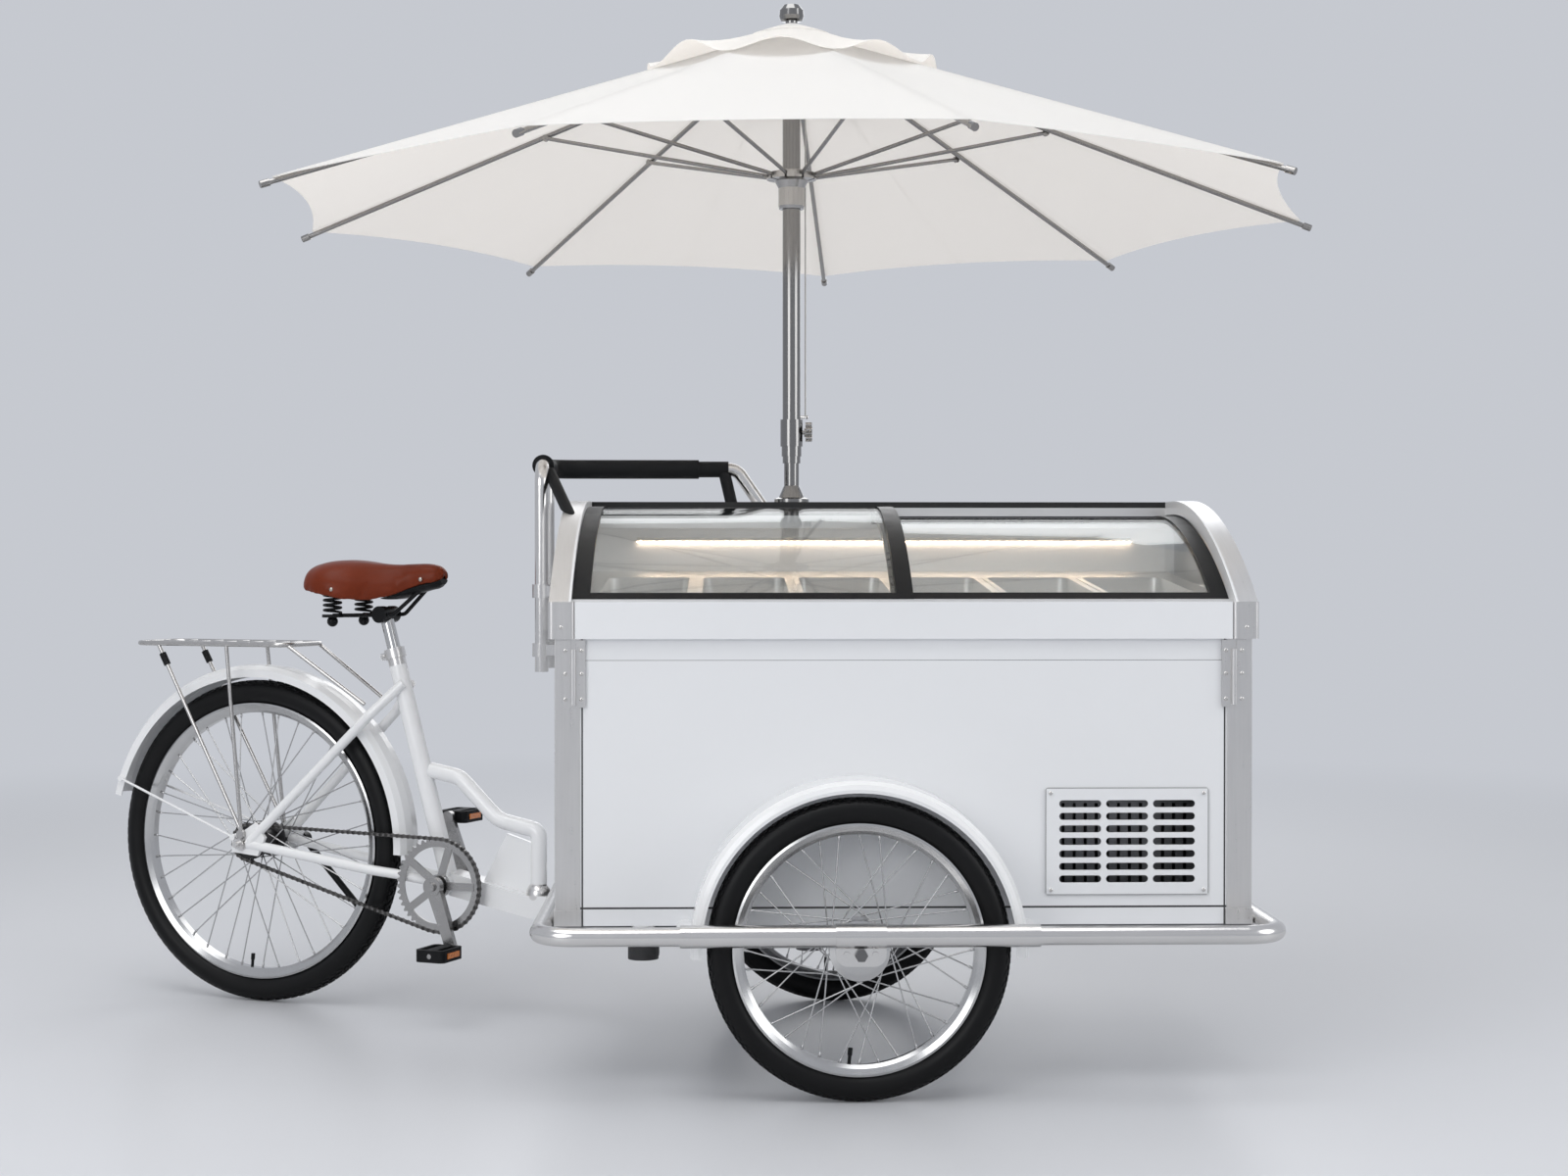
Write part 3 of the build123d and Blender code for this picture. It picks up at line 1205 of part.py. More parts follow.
def handle_grip():
    """Foam grip round the bar, the black brace to the end frame and the leg at its other end."""
    bore = HANDLE_TUBE + SEAT
    path = [(HANDLE_X0, 165, HANDLE_Z), (HANDLE_X0, HANDLE_Y, HANDLE_Z), (GRIP_END, HANDLE_Y, HANDLE_Z)]
    sleeve = pipe(path, [45], GRIP_R, bore)
    leg_y = HANDLE_FOOT_Y + HANDLE_LEGS
    sleeve -= rod((HANDLE_X0, leg_y, HANDLE_Z - 60), (HANDLE_X0, leg_y, HANDLE_Z), bore)
    foot_y = -30.0
    foot_x = -RIM_L / 2 + CHEEK_T / 2
    brace = rod((HANDLE_X0 + 14, 141, HANDLE_Z - 14), (foot_x, foot_y, arc_z(ARC_R, foot_y) - 12), 11)
    brace -= Pos(0, ARC_Y, ARC_Z) * Rot(0, 90, 0) * Cylinder(ARC_R + SEAT, 3 * RIM_L)
    collar = rod((HANDLE_X0, 154, HANDLE_Z), (HANDLE_X0, 164, HANDLE_Z), GRIP_R + 2, bore)
    corner = (HANDLE_X0, HANDLE_FOOT_Y, HANDLE_Z)
    bend = [(HANDLE_X0, HANDLE_FOOT_Y, HANDLE_Z - 200), corner, (HANDLE_X0, 220, HANDLE_Z)]
    brace -= pipe(bend, [40], bore)
    start = (GRIP_END + SEAT, HANDLE_Y, HANDLE_Z)
    end = (HANDLE_X1 - 40, HANDLE_Y, HANDLE_Z)
    thin = rod(start, end, HANDLE_TUBE + 3, bore)
    leg = rod((HANDLE_X1 - 50, HANDLE_Y, HANDLE_Z), (HANDLE_X1 - 32, HOOD_Y0 + 18, HOOD_Z1 - 12), LEG_R)
    leg -= rod(start, (HANDLE_X1, HANDLE_Y, HANDLE_Z), HANDLE_TUBE + 3 + SEAT)
    leg -= block(GRIP_END, 0, HOOD_Y0 - 40, HOOD_Y1 + 40, HOOD_Z1 - 60, HOOD_Z1)
    keep = leg.solids().sort_by(Axis.Z)[0]
    return [sleeve, collar + brace, thin, keep]


save("mast_upper", mast_upper())
save("mast_lower", mast_lower())
save("clamp_knob", knob())
save("runner", runner())
save("pull_cord", pull_cord())
save("canopy", canopy())
for k in range(RIBS):
    save(f"rib_{k + 1}", turn(k) * rib())
    save(f"strut_{k + 1}", turn(k) * strut())
save("handle", handle())
save("handle_grip", group(handle_grip()))

box = group(NODES.values()).bounding_box()
CENTRE_X = (box.min.X + box.max.X) / 2
CENTRE_Y = (box.min.Y + box.max.Y) / 2
print("box centre", round(CENTRE_X, 3), round(CENTRE_Y, 3))
for name, shape in NODES.items():
    solids = [Pos(-CENTRE_X, -CENTRE_Y, 0) * item for item in shape.solids()]
    export_step(solids[0] if len(solids) == 1 else Compound(solids), f"parts/{name}.step")
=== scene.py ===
import json
import math

import bmesh
import bpy
import numpy as np
from mathutils import Matrix, Vector

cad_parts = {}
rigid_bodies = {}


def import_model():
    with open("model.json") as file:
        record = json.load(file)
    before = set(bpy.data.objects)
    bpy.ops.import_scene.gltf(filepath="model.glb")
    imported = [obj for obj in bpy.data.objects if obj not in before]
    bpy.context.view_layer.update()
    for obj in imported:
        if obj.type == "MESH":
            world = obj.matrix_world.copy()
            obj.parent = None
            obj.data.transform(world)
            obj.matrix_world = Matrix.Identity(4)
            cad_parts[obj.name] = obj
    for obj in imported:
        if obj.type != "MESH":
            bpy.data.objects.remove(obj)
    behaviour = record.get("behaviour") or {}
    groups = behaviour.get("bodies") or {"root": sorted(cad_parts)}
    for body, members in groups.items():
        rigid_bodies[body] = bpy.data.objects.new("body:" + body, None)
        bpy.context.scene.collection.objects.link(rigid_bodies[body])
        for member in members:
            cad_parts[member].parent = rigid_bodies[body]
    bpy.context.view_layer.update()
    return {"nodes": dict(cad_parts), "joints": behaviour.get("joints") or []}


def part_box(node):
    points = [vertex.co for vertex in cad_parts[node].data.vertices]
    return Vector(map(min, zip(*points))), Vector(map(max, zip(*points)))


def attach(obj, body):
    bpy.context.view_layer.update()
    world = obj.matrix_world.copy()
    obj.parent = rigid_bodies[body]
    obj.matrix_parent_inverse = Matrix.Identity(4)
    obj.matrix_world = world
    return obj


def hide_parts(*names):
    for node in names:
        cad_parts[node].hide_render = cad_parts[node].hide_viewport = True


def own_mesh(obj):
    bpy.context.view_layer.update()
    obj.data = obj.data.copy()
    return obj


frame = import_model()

bl_info = {
    "name": "Ice Cream Cart",
    "version": (1, 0, 0),
    "blender": (4, 5, 0),
    "location": "3D View > Sidebar > Cart",
    "description": "Finishes, cloth, leather, chain and tyres of a cargo tricycle with a freezer box",
    "category": "Object",
}

JOINTS = {j["name"]: j for j in frame["joints"]}
NODES = frame["nodes"]


def joint_at(name):
    """Where a joint of the frame sits, in metres."""
    return Vector(JOINTS[name]["pos_m"])


# The drawing's own origin and the turned rear half, both found from the steering pin
PIVOT_X = -0.150
STEER = joint_at("steer")
SHIFT = Vector((STEER.x - PIVOT_X, STEER.y, 0.0))
SIDE = Vector(JOINTS["rear_wheel_spin"]["axis"])
AHEAD = SIDE.cross(Vector((0.0, 0.0, 1.0)))


def drawn(x, y, z):
    """A point of the drawing, in millimetres, as a place in the frame."""
    return SHIFT + Vector((x, y, z)) / 1000.0


def cycle(u, v, z):
    """A point of the steered rear half: forward, sideways and up, in millimetres."""
    foot = Vector((STEER.x, STEER.y, 0.0))
    return foot + AHEAD * (u / 1000.0) + SIDE * (v / 1000.0) + Vector((0, 0, z / 1000.0))


class Value:
    """A socket of a shader, with arithmetic that adds Math nodes."""

    def __init__(self, finish, socket):
        self.finish = finish
        self.socket = socket

    def math(self, operation, first, second):
        """A Math node on two values or numbers."""
        return self.finish.add("ShaderNodeMath", {"operation": operation}, {0: first, 1: second})

    def __add__(self, other):
        return self.math("ADD", self, other)

    def __sub__(self, other):
        return self.math("SUBTRACT", self, other)

    def __rsub__(self, other):
        return self.math("SUBTRACT", other, self)

    def __mul__(self, other):
        return self.math("MULTIPLY", self, other)

    def __gt__(self, other):
        return self.math("GREATER_THAN", self, other)

    def __lt__(self, other):
        return self.math("LESS_THAN", self, other)

    def __pow__(self, other):
        return self.math("POWER", self, other)

    __radd__ = __add__
    __rmul__ = __mul__


class Finish:
    """One material and the short way to add nodes to it."""

    def __init__(self, name):
        self.material = bpy.data.materials.new(name)
        self.material.use_nodes = True
        self.tree = self.material.node_tree
        self.tree.nodes.clear()
        self.end = self.tree.nodes.new("ShaderNodeOutputMaterial")

    def add(self, kind, settings=None, inputs=None, output=0):
        """Adds a node: its settings first, then the values or links of its sockets."""
        node = self.tree.nodes.new(kind)
        for key, value in (settings or {}).items():
            setattr(node, key, value)
        for key, value in (inputs or {}).items():
            socket = node.inputs[key]
            if isinstance(value, Value):
                self.tree.links.new(value.socket, socket)
            else:
                socket.default_value = value
        return Value(self, node.outputs[output])

    def place(self, stretch=(1, 1, 1), kind="Object"):
        """Coordinates on the piece itself, stretched."""
        where = self.add("ShaderNodeTexCoord", output=kind)
        return self.add("ShaderNodeMapping", None, {"Vector": where, "Scale": stretch})

    def along(self, axis):
        """How far the surface lies along one axis of the frame, in metres."""
        return self.add("ShaderNodeSeparateXYZ", None, {"Vector": self.place()}, axis)

    def noise(self, where, scale, detail=2.0, rough=0.5):
        """Soft noise between 0 and 1."""
        settings = {"noise_dimensions": "3D"}
        values = {"Vector": where, "Scale": scale, "Detail": detail, "Roughness": rough}
        return self.add("ShaderNodeTexNoise", settings, values, "Fac")

    def tint(self, mask, low, high):
        """A colour between two, each a plain colour or a value, by a mask."""
        low, high = (c if isinstance(c, Value) else (*c, 1.0) for c in (low, high))
        return self.add("ShaderNodeMix", {"data_type": "RGBA"}, {"Factor": mask, 6: low, 7: high}, 2)

    def bump(self, height, strength, depth):
        """A normal from a height, with its depth in metres."""
        values = {"Height": height, "Strength": strength, "Distance": depth}
        return self.add("ShaderNodeBump", None, values)

    def surface(self, **inputs):
        """The principled shader; underscores stand for the spaces of a socket's name."""
        named = {}
        for key, value in inputs.items():
            if key.endswith("Color") and isinstance(value, tuple):
                value = (*value, 1.0)
            named[key.replace("_", " ")] = value
        return self.add("ShaderNodeBsdfPrincipled", None, named)

    def done(self, shader):
        """Ends the material with a shader."""
        self.tree.links.new(shader.socket, self.end.inputs["Surface"])
        return self.material


# Scales of the noise that several finishes share, and their blackened metal
PEEL = 330.0
BRUSH = 260.0
CAST_GRAIN = 700.0
BLACKENED = (0.03, 0.03, 0.032)


def shade(colour, share):
    """A darker or lighter colour."""
    return tuple(min(1.0, c * share) for c in colour)


def gloss_paint(name, colour, rough):
    """Sprayed gloss paint: faint orange peel, slow tone drift, a clear coat and a little dust."""
    f = Finish(name)
    where = f.place()
    drift = f.noise(where, 5.0, 3.0)
    peel = f.noise(where, PEEL, 2.0)
    dust = f.noise(where, 38.0, 6.0, 0.7)
    colour_map = f.tint(drift * 0.7 + dust * 0.3, shade(colour, 0.975), shade(colour, 1.015))
    return f.done(f.surface(
        Base_Color=colour_map, Roughness=rough + (dust - 0.5) * 0.05,
        Coat_Weight=0.35, Coat_Roughness=0.08, Normal=f.bump(peel, 0.08, 0.0002),
    ))


def brushed_metal(name, colour, run, rough=0.3):
    """Brushed metal: scratches along the axis with the small share, clouds and handling marks."""
    f = Finish(name)
    lines = f.noise(f.place(run), BRUSH, 4.0, 0.65)
    clouds = f.noise(f.place(), 7.0, 4.0)
    smudge = f.noise(f.place(), 30.0, 5.0, 0.65)
    colour_map = f.tint(lines * 0.7 + clouds * 0.3, shade(colour, 0.9), shade(colour, 1.07))
    return f.done(f.surface(
        Base_Color=colour_map, Metallic=1.0,
        Roughness=rough + (lines - 0.5) * 0.14 + (smudge - 0.5) * 0.08,
        Normal=f.bump(lines, 0.05, 0.0002),
    ))


def polished_metal(name, colour, rough=0.14):
    """Drawn tube or cast alloy, polished, with soft clouds in its shine."""
    f = Finish(name)
    clouds = f.noise(f.place(), 24.0, 5.0, 0.6)
    grain = f.noise(f.place(), CAST_GRAIN, 2.0)
    return f.done(f.surface(
        Base_Color=f.tint(clouds, shade(colour, 0.9), shade(colour, 1.05)), Metallic=1.0,
        Roughness=rough + (clouds - 0.5) * 0.12 + (grain - 0.5) * 0.05,
        Normal=f.bump(grain, 0.03, 0.0001),
    ))


def black_moulding(name, colour, rough, grain_scale=1400.0, depth=0.0003):
    """Black plastic, paint or foam with a fine moulded grain and paler rubbed spots."""
    f = Finish(name)
    cells = {"Vector": f.place(), "Scale": grain_scale}
    grain = f.add("ShaderNodeTexVoronoi", None, cells, "Distance")
    rub = f.noise(f.place(), 26.0, 5.0, 0.65)
    return f.done(f.surface(
        Base_Color=f.tint(rub, shade(colour, 0.7), shade(colour, 1.4)),
        Roughness=rough + (rub - 0.5) * 0.2, Specular_IOR_Level=0.12, Normal=f.bump(grain, 0.2, depth),
    ))


def tyre_rubber(name, colour):
    """Tyre rubber: a little dust in the tread, fine cast texture."""
    f = Finish(name)
    cast = f.noise(f.place(), 620.0, 3.0, 0.6)
    dust = f.noise(f.place(), 14.0, 6.0, 0.7)
    return f.done(f.surface(
        Base_Color=f.tint(dust ** 2.0, colour, shade(colour, 1.9)),
        Roughness=0.42 + (dust - 0.5) * 0.2, Specular_IOR_Level=0.17, Normal=f.bump(cast, 0.12, 0.0002),
    ))


def saddle_leather(name, colour):
    """Tan leather: pebbled grain, darker creases, burnished tone over the crown."""
    f = Finish(name)
    where = f.place()
    cells = {"Vector": where, "Scale": 520.0}
    pebble = f.add("ShaderNodeTexVoronoi", {"feature": "F1"}, cells, "Distance")
    pore = f.noise(where, 1500.0, 2.0)
    tone = f.noise(where, 16.0, 5.0, 0.6)
    wear = f.noise(where, 55.0, 4.0, 0.7)
    colour_map = f.tint(tone * 0.75 + pebble * 0.4, shade(colour, 1.2), shade(colour, 0.72))
    return f.done(f.surface(
        Base_Color=colour_map, Roughness=0.34 + (wear - 0.5) * 0.12, Specular_IOR_Level=0.14,
        Normal=f.bump(pebble * 0.7 + pore * 0.3, 0.12, 0.0003),
    ))


def canopy_cloth(name, colour, glow, share):
    """Woven polyester: plain weave on the panel's own map, slow pull marks and light through it."""
    f = Finish(name)
    threads = {"Vector": f.place(kind="UV"), "Scale": 260.0}
    warp, weft = (f.add("ShaderNodeTexWave", {"bands_direction": way}, threads, "Fac") for way in "XY")
    pull = f.noise(f.place((1.0, 0.22, 1.0), kind="UV"), 7.0, 4.0)
    colour_map = f.tint(pull * 0.7 + warp * weft * 0.3, shade(colour, 0.97), shade(colour, 1.02))
    cloth = f.surface(
        Base_Color=colour_map, Roughness=0.82 + (pull - 0.5) * 0.1,
        Sheen_Weight=0.15, Sheen_Roughness=0.4,
        Normal=f.bump(warp * 0.5 + weft * 0.5 + pull * 1.5, 0.18, 0.0006),
    )
    through = f.add("ShaderNodeBsdfTranslucent", None, {"Color": (*glow, 1.0)})
    return f.done(f.add("ShaderNodeMixShader", None, {0: share, 1: cloth, 2: through}))


def clear_glass(name, tint):
    """Bent glass: clear through, mirroring where it is seen at a slant, with faint wiping marks."""
    f = Finish(name)
    wipe = f.noise(f.place((1.0, 0.4, 0.4)), 9.0, 3.0, 0.5)
    slant = f.add("ShaderNodeLayerWeight", None, {"Blend": 0.25}, "Fresnel")
    clear = f.add("ShaderNodeBsdfTransparent", None, {"Color": (*tint, 1.0)})
    shine = f.surface(Base_Color=(0.92, 0.94, 0.94), Metallic=1.0, Roughness=0.03 + wipe * 0.03)
    mirror = slant * 0.28 + wipe * 0.01
    return f.done(f.add("ShaderNodeMixShader", None, {0: mirror, 1: clear, 2: shine}))


def light_strip(name, colour, corner):
    """Grey strip with a row of warm diodes along its lower front edge, weaker underneath."""
    f = Finish(name)
    diodes = {"Vector": f.place(), "Scale": 24.0}
    beads = f.add("ShaderNodeTexWave", {"bands_direction": "X"}, diodes, "Fac")
    row = f.along("Z") < corner[2] + DIODE_ROW
    front = f.along("Y") < corner[1] + DIODE_FRONT
    lit = f.tint(row * (beads * 0.6 + 0.4) * (front * 0.7 + 0.3), (0.0, 0.0, 0.0), colour)
    return f.done(f.surface(
        Base_Color=f.tint(row, (0.42, 0.41, 0.40), colour), Roughness=0.45 - row * 0.1,
        Emission_Color=lit, Emission_Strength=36.0,
    ))


def reflector(name, colour):
    """Cube-corner reflector under clear plastic."""
    f = Finish(name)
    cells = f.add("ShaderNodeTexVoronoi", None, {"Vector": f.place(), "Scale": 420.0}, "Distance")
    return f.done(f.surface(
        Base_Color=f.tint(cells, shade(colour, 1.25), shade(colour, 0.55)),
        Roughness=0.12 + cells * 0.1, Coat_Weight=0.6, Normal=f.bump(cells, 0.5, 0.0006),
    ))


def linked(name, data):
    """A new object in the scene."""
    obj = bpy.data.objects.new(name, data)
    bpy.context.scene.collection.objects.link(obj)
    return obj


def evaluated(obj):
    """A plain mesh of an object as its modifiers leave it."""
    graph = bpy.context.evaluated_depsgraph_get()
    return bpy.data.meshes.new_from_object(obj.evaluated_get(graph), depsgraph=graph)


class Growth:
    """A geometry tree built in the script, with named inputs for its sizes."""

    def __init__(self, name, inputs):
        self.tree = bpy.data.node_groups.new(name, "GeometryNodeTree")
        face = self.tree.interface
        face.new_socket("Geometry", in_out="INPUT", socket_type="NodeSocketGeometry")
        self.ids = {}
        for label, kind, default in [*inputs, ("Material", "NodeSocketMaterial", None)]:
            socket = face.new_socket(label, in_out="INPUT", socket_type=kind)
            if default is not None:
                socket.default_value = default
            self.ids[label] = socket.identifier
        face.new_socket("Geometry", in_out="OUTPUT", socket_type="NodeSocketGeometry")
        self.start = self.tree.nodes.new("NodeGroupInput")
        self.end = self.tree.nodes.new("NodeGroupOutput")

    def given(self, label):
        """One of the tree's own inputs."""
        return self.start.outputs[label]

    def add(self, kind, settings=None, inputs=None):
        """Adds a node: its settings first, then the values or links of its sockets."""
        node = self.tree.nodes.new(kind)
        for key, value in (settings or {}).items():
            setattr(node, key, value)
        for key, value in (inputs or {}).items():
            several = value if isinstance(value, list) else [value]
            for item in several:
                if isinstance(item, bpy.types.NodeSocket):
                    self.tree.links.new(item, node.inputs[key])
                else:
                    node.inputs[key].default_value = item
        return node.outputs[0]

    def attribute(self, name):
        """A direction that is stored on each point."""
        vector = {"data_type": "FLOAT_VECTOR"}
        return self.add("GeometryNodeInputNamedAttribute", vector, {"Name": name})

    def facing(self):
        """Turns an instance's Z to the point's aim and its X to the point's run."""
        align = "FunctionNodeAlignRotationToVector"
        upright = self.add(align, {"axis": "Z"}, {"Vector": self.attribute("aim")})
        turned = {"Rotation": upright, "Vector": self.attribute("run")}
        return self.add(align, {"axis": "X", "pivot_axis": "Z"}, turned)

    def close(self, shape):
        """Sets the shape on every point, then makes it real and gives it its material."""
        put = self.add(
            "GeometryNodeInstanceOnPoints", None,
            {"Points": self.given("Geometry"), "Instance": shape, "Rotation": self.facing()},
        )
        real = self.add("GeometryNodeRealizeInstances", None, {"Geometry": put})
        coat = {"Geometry": real, "Material": self.given("Material")}
        dressed = self.add("GeometryNodeSetMaterial", None, coat)
        self.tree.links.new(dressed, self.end.inputs[0])
        return self

    def mesh(self, places, values, material):
        """The plain mesh that the tree grows on (point, aim, run) places."""
        base = bpy.data.meshes.new("places")
        base.from_pydata([p for p, _, _ in places], [], [])
        for name, column in (("aim", 1), ("run", 2)):
            layer = base.attributes.new(name, "FLOAT_VECTOR", "POINT")
            layer.data.foreach_set("vector", [c for place in places for c in place[column]])
        holder = linked("holder", base)
        modifier = holder.modifiers.new("Growth", "NODES")
        modifier.node_group = self.tree
        for label, value in values.items():
            modifier[self.ids[label]] = value
        modifier[self.ids["Material"]] = material
        made = evaluated(holder)
        bpy.data.objects.remove(holder)
        return made


def stud_growth():
    """Domed heads of rivets, screws and spoke nipples."""
    g = Growth("Studs", [("Radius", "NodeSocketFloat", 0.004), ("Height", "NodeSocketFloat", 0.002)])
    ball = g.add("GeometryNodeMeshUVSphere", None, {"Segments": 14, "Rings": 7, "Radius": 1.0})
    radius = g.given("Radius")
    size = g.add("ShaderNodeCombineXYZ", None, {"X": radius, "Y": radius, "Z": g.given("Height")})
    return g.close(g.add("GeometryNodeTransform", None, {"Geometry": ball, "Scale": size}))


def block_growth():
    """Small blocks: tread lugs and pedal reflectors."""
    g = Growth("Blocks", [("Size", "NodeSocketVector", (0.006, 0.004, 0.003))])
    return g.close(g.add("GeometryNodeMeshCube", None, {"Size": g.given("Size")}))


def link_growth():
    """A pair of chain plates and the roller between them."""
    measures = (
        ("Pitch", 0.0127), ("Gap", 0.005), ("Plate", 0.001), ("Eye", 0.0041), ("Waist", 0.0056),
        ("Roller", 0.0034),
    )
    g = Growth("Links", [(label, "NodeSocketFloat", value) for label, value in measures])
    times = {"operation": "MULTIPLY"}
    half_pitch = g.add("ShaderNodeMath", times, {0: g.given("Pitch"), 1: 0.5})
    half_gap = g.add("ShaderNodeMath", times, {0: g.given("Gap"), 1: 0.5})
    eye = g.add("GeometryNodeMeshCylinder", None, {
        "Vertices": 10, "Radius": g.given("Eye"), "Depth": g.given("Plate"),
    })
    waist_size = g.add("ShaderNodeCombineXYZ", None, {
        "X": g.given("Pitch"), "Y": g.given("Waist"), "Z": g.given("Plate"),
    })
    plate = [g.add("GeometryNodeMeshCube", None, {"Size": waist_size})]
    for sign in (-1.0, 1.0):
        along = g.add("ShaderNodeMath", times, {0: half_pitch, 1: sign})
        to = g.add("ShaderNodeCombineXYZ", None, {"X": along})
        plate.append(g.add("GeometryNodeTransform", None, {"Geometry": eye, "Translation": to}))
    whole = g.add("GeometryNodeJoinGeometry", None, {"Geometry": plate})
    roller = g.add("GeometryNodeMeshCylinder", None, {
        "Vertices": 10, "Radius": g.given("Roller"), "Depth": g.given("Gap"),
    })
    ahead = g.add("ShaderNodeCombineXYZ", None, {"X": half_pitch})
    pair = [g.add("GeometryNodeTransform", None, {"Geometry": roller, "Translation": ahead})]
    for sign in (-1.0, 1.0):
        side = g.add("ShaderNodeMath", times, {0: half_gap, 1: sign})
        to = g.add("ShaderNodeCombineXYZ", None, {"Z": side})
        pair.append(g.add("GeometryNodeTransform", None, {"Geometry": whole, "Translation": to}))
    return g.close(g.add("GeometryNodeJoinGeometry", None, {"Geometry": pair}))


# Angles past which an edge stays sharp
SHADE_ANGLE = math.radians(38)
CLOTH_ANGLE = math.radians(60)
LEATHER_ANGLE = math.radians(70)
TYRE_ANGLE = math.radians(30)
# Points nearer than this are one, in metres
MERGE = 1e-6


def piece(name, mesh, body, materials=(), stands_for=(), smooth=SHADE_ANGLE):
    """Links a finished mesh as a piece of the object that rides on a body."""
    mesh.name = name
    if materials:
        mesh.materials.clear()
        for material in materials:
            mesh.materials.append(material)
    mesh.shade_smooth()
    mesh.set_sharp_from_angle(angle=smooth)
    obj = linked(name, mesh)
    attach(obj, body)
    if stands_for:
        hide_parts(*stands_for)
    return obj


def as_is(bm):
    """Turns a bmesh into a mesh."""
    mesh = bpy.data.meshes.new("made")
    bm.to_mesh(mesh)
    bm.free()
    return mesh


def mesh_of(bm):
    """Turns a bmesh into a mesh with merged points and outward faces."""
    bmesh.ops.remove_doubles(bm, verts=bm.verts, dist=MERGE)
    bmesh.ops.recalc_face_normals(bm, faces=bm.faces)
    return as_is(bm)


def joined(meshes):
    """One mesh from several that share their materials' order."""
    bm = bmesh.new()
    for mesh in meshes:
        bm.from_mesh(mesh)
        bpy.data.meshes.remove(mesh)
    return as_is(bm)


def skin(bm, rows, wrap_row=False, wrap_column=False):
    """Quads over a grid of points; either way round may close on itself."""
    grid = [[bm.verts.new(p) for p in row] for row in rows]
    n, m = len(grid), len(grid[0])
    for i in range(n if wrap_column else n - 1):
        for j in range(m if wrap_row else m - 1):
            a, b = grid[i][j], grid[i][(j + 1) % m]
            c, d = grid[(i + 1) % n][(j + 1) % m], grid[(i + 1) % n][j]
            bm.faces.new((a, b, c, d))
    return grid


def capped(bm, rows):
    """A skin over rings, closed at both ends."""
    grid = skin(bm, rows, wrap_row=True)
    for ring in (grid[0], grid[-1]):
        bm.faces.new(ring)


def tube(bm, points, radius, sides):
    """A round rod along points, with capped ends."""
    rows = []
    normal = None
    for i, p in enumerate(points):
        along = (points[min(i + 1, len(points) - 1)] - points[max(i - 1, 0)]).normalized()
        if normal is None:
            normal = along.orthogonal().normalized()
        normal = (normal - along * normal.dot(along)).normalized()
        other = along.cross(normal)
        rows.append([
            p + (normal * math.cos(a) + other * math.sin(a)) * radius
            for a in (2 * math.pi * k / sides for k in range(sides))
        ])
    capped(bm, rows)


def turned_rows(centre, axis, profile, count):
    """Rings of a profile of (radius, side) points turned about an axis."""
    axis = axis.normalized()
    first = Vector((0, 0, -1)) - axis * Vector((0, 0, -1)).dot(axis)
    first.normalize()
    second = axis.cross(first)
    rows = []
    for k in range(count):
        a = 2 * math.pi * k / count
        out = first * math.cos(a) + second * math.sin(a)
        rows.append([centre + out * r + axis * s for r, s in profile])
    return rows


def turned_mesh(centre, axis, profile, count):
    """A small piece turned from a profile of (radius, along) points in millimetres."""
    bm = bmesh.new()
    points = [(r / 1000, s / 1000) for r, s in profile]
    skin(bm, turned_rows(centre, axis, points, count), wrap_column=True)
    return mesh_of(bm)


# Sizes that are repeated from the drawing, in millimetres
MAST_XY = (-175.0, 331.0)
SADDLE_U, SADDLE_Z = -925.0, 862.0
CHAIN_V = -47.0
LINK = 12.7
RING_TEETH, COG_TEETH = 46, 18

# Umbrella: the cover's inner and outer radius, its top and its fall on a rib
RIBS = 9
RIB_STEP = 2 * math.pi / RIBS
FIRST_RIB = math.radians(84.0)
COVER_IN, COVER_OUT = 64.0, 1053.0
COVER_APEX = 1984.4
COVER_FALL = 0.3508

# Vent cap: radii, top, fall and its bend, how far the edge draws in between ribs, how the
# lobes differ, then where its pieces start and its crown ends, as shares of the way out
CAP_IN, CAP_OUT = 14.0, 300.0
CAP_TOP, CAP_FALL, CAP_BEND = 1992.3, 108.0, 1.04
CAP_DRAW = 10.0
CAP_LOBE = 0.22
CAP_START, CROWN_END = 0.13, 0.24
CAP_ROWS, CROWN_ROWS = 12, 4
CAP_COLUMNS = 7
CROWN_OVER = Vector((0.0, 0.0, 0.0018))

# Pull cord: its side of the mast, its distance from the mast's middle, ends and knot, and
# the (radius, along) profiles of the knot and of the peg on the mast
CORD_TURN = math.radians(30.0)
CORD_REACH = 33.0
CORD_TOP, CORD_LOW = 1949.8, 1204.0
KNOT_Z = 1944.0
KNOT = ((0.0, -5.0), (2.4, -4.6), (3.7, -2.6), (4.0, 0.0), (3.4, 2.4), (2.2, 4.2), (0.0, 4.8))
PEG = (
    (0.0, 18.1), (3.0, 18.1), (3.0, 30.0), (2.2, 31.0), (2.2, 35.0), (4.2, 35.6), (4.2, 37.0),
    (0.0, 37.4),
)

# Where finishes change, in metres: panel seams (level, half width), the uprights between
# panels, the ends of the hood, the tub's drain and the lid track's top; then the width of the
# painted shade round the vent plate's edge
PANEL_SEAMS = ((0.741, 0.0004), (0.3135, 0.0017))
UPRIGHT_X, UPRIGHT_HALF = 0.5560, 0.0014
HOOD_END = 0.579
DRAIN_LEVEL = 0.255
TRACK_LEVEL = 1.0195
VENT_SHADE_WIDTH = 0.0017
# The strip light's row of diodes: its height and how thick its front is
DIODE_ROW, DIODE_FRONT = 0.0026, 0.0003

# Bare steel on the painted frame: reach in metres round the axle, collar and ball
AXLE_REACH, COLLAR_REACH, BALL_REACH = 0.0152, 0.031, 0.0265
COLLAR = (-905.5, 0.0, 726.0)
BALL = (-577.0, 0.0, 254.0)

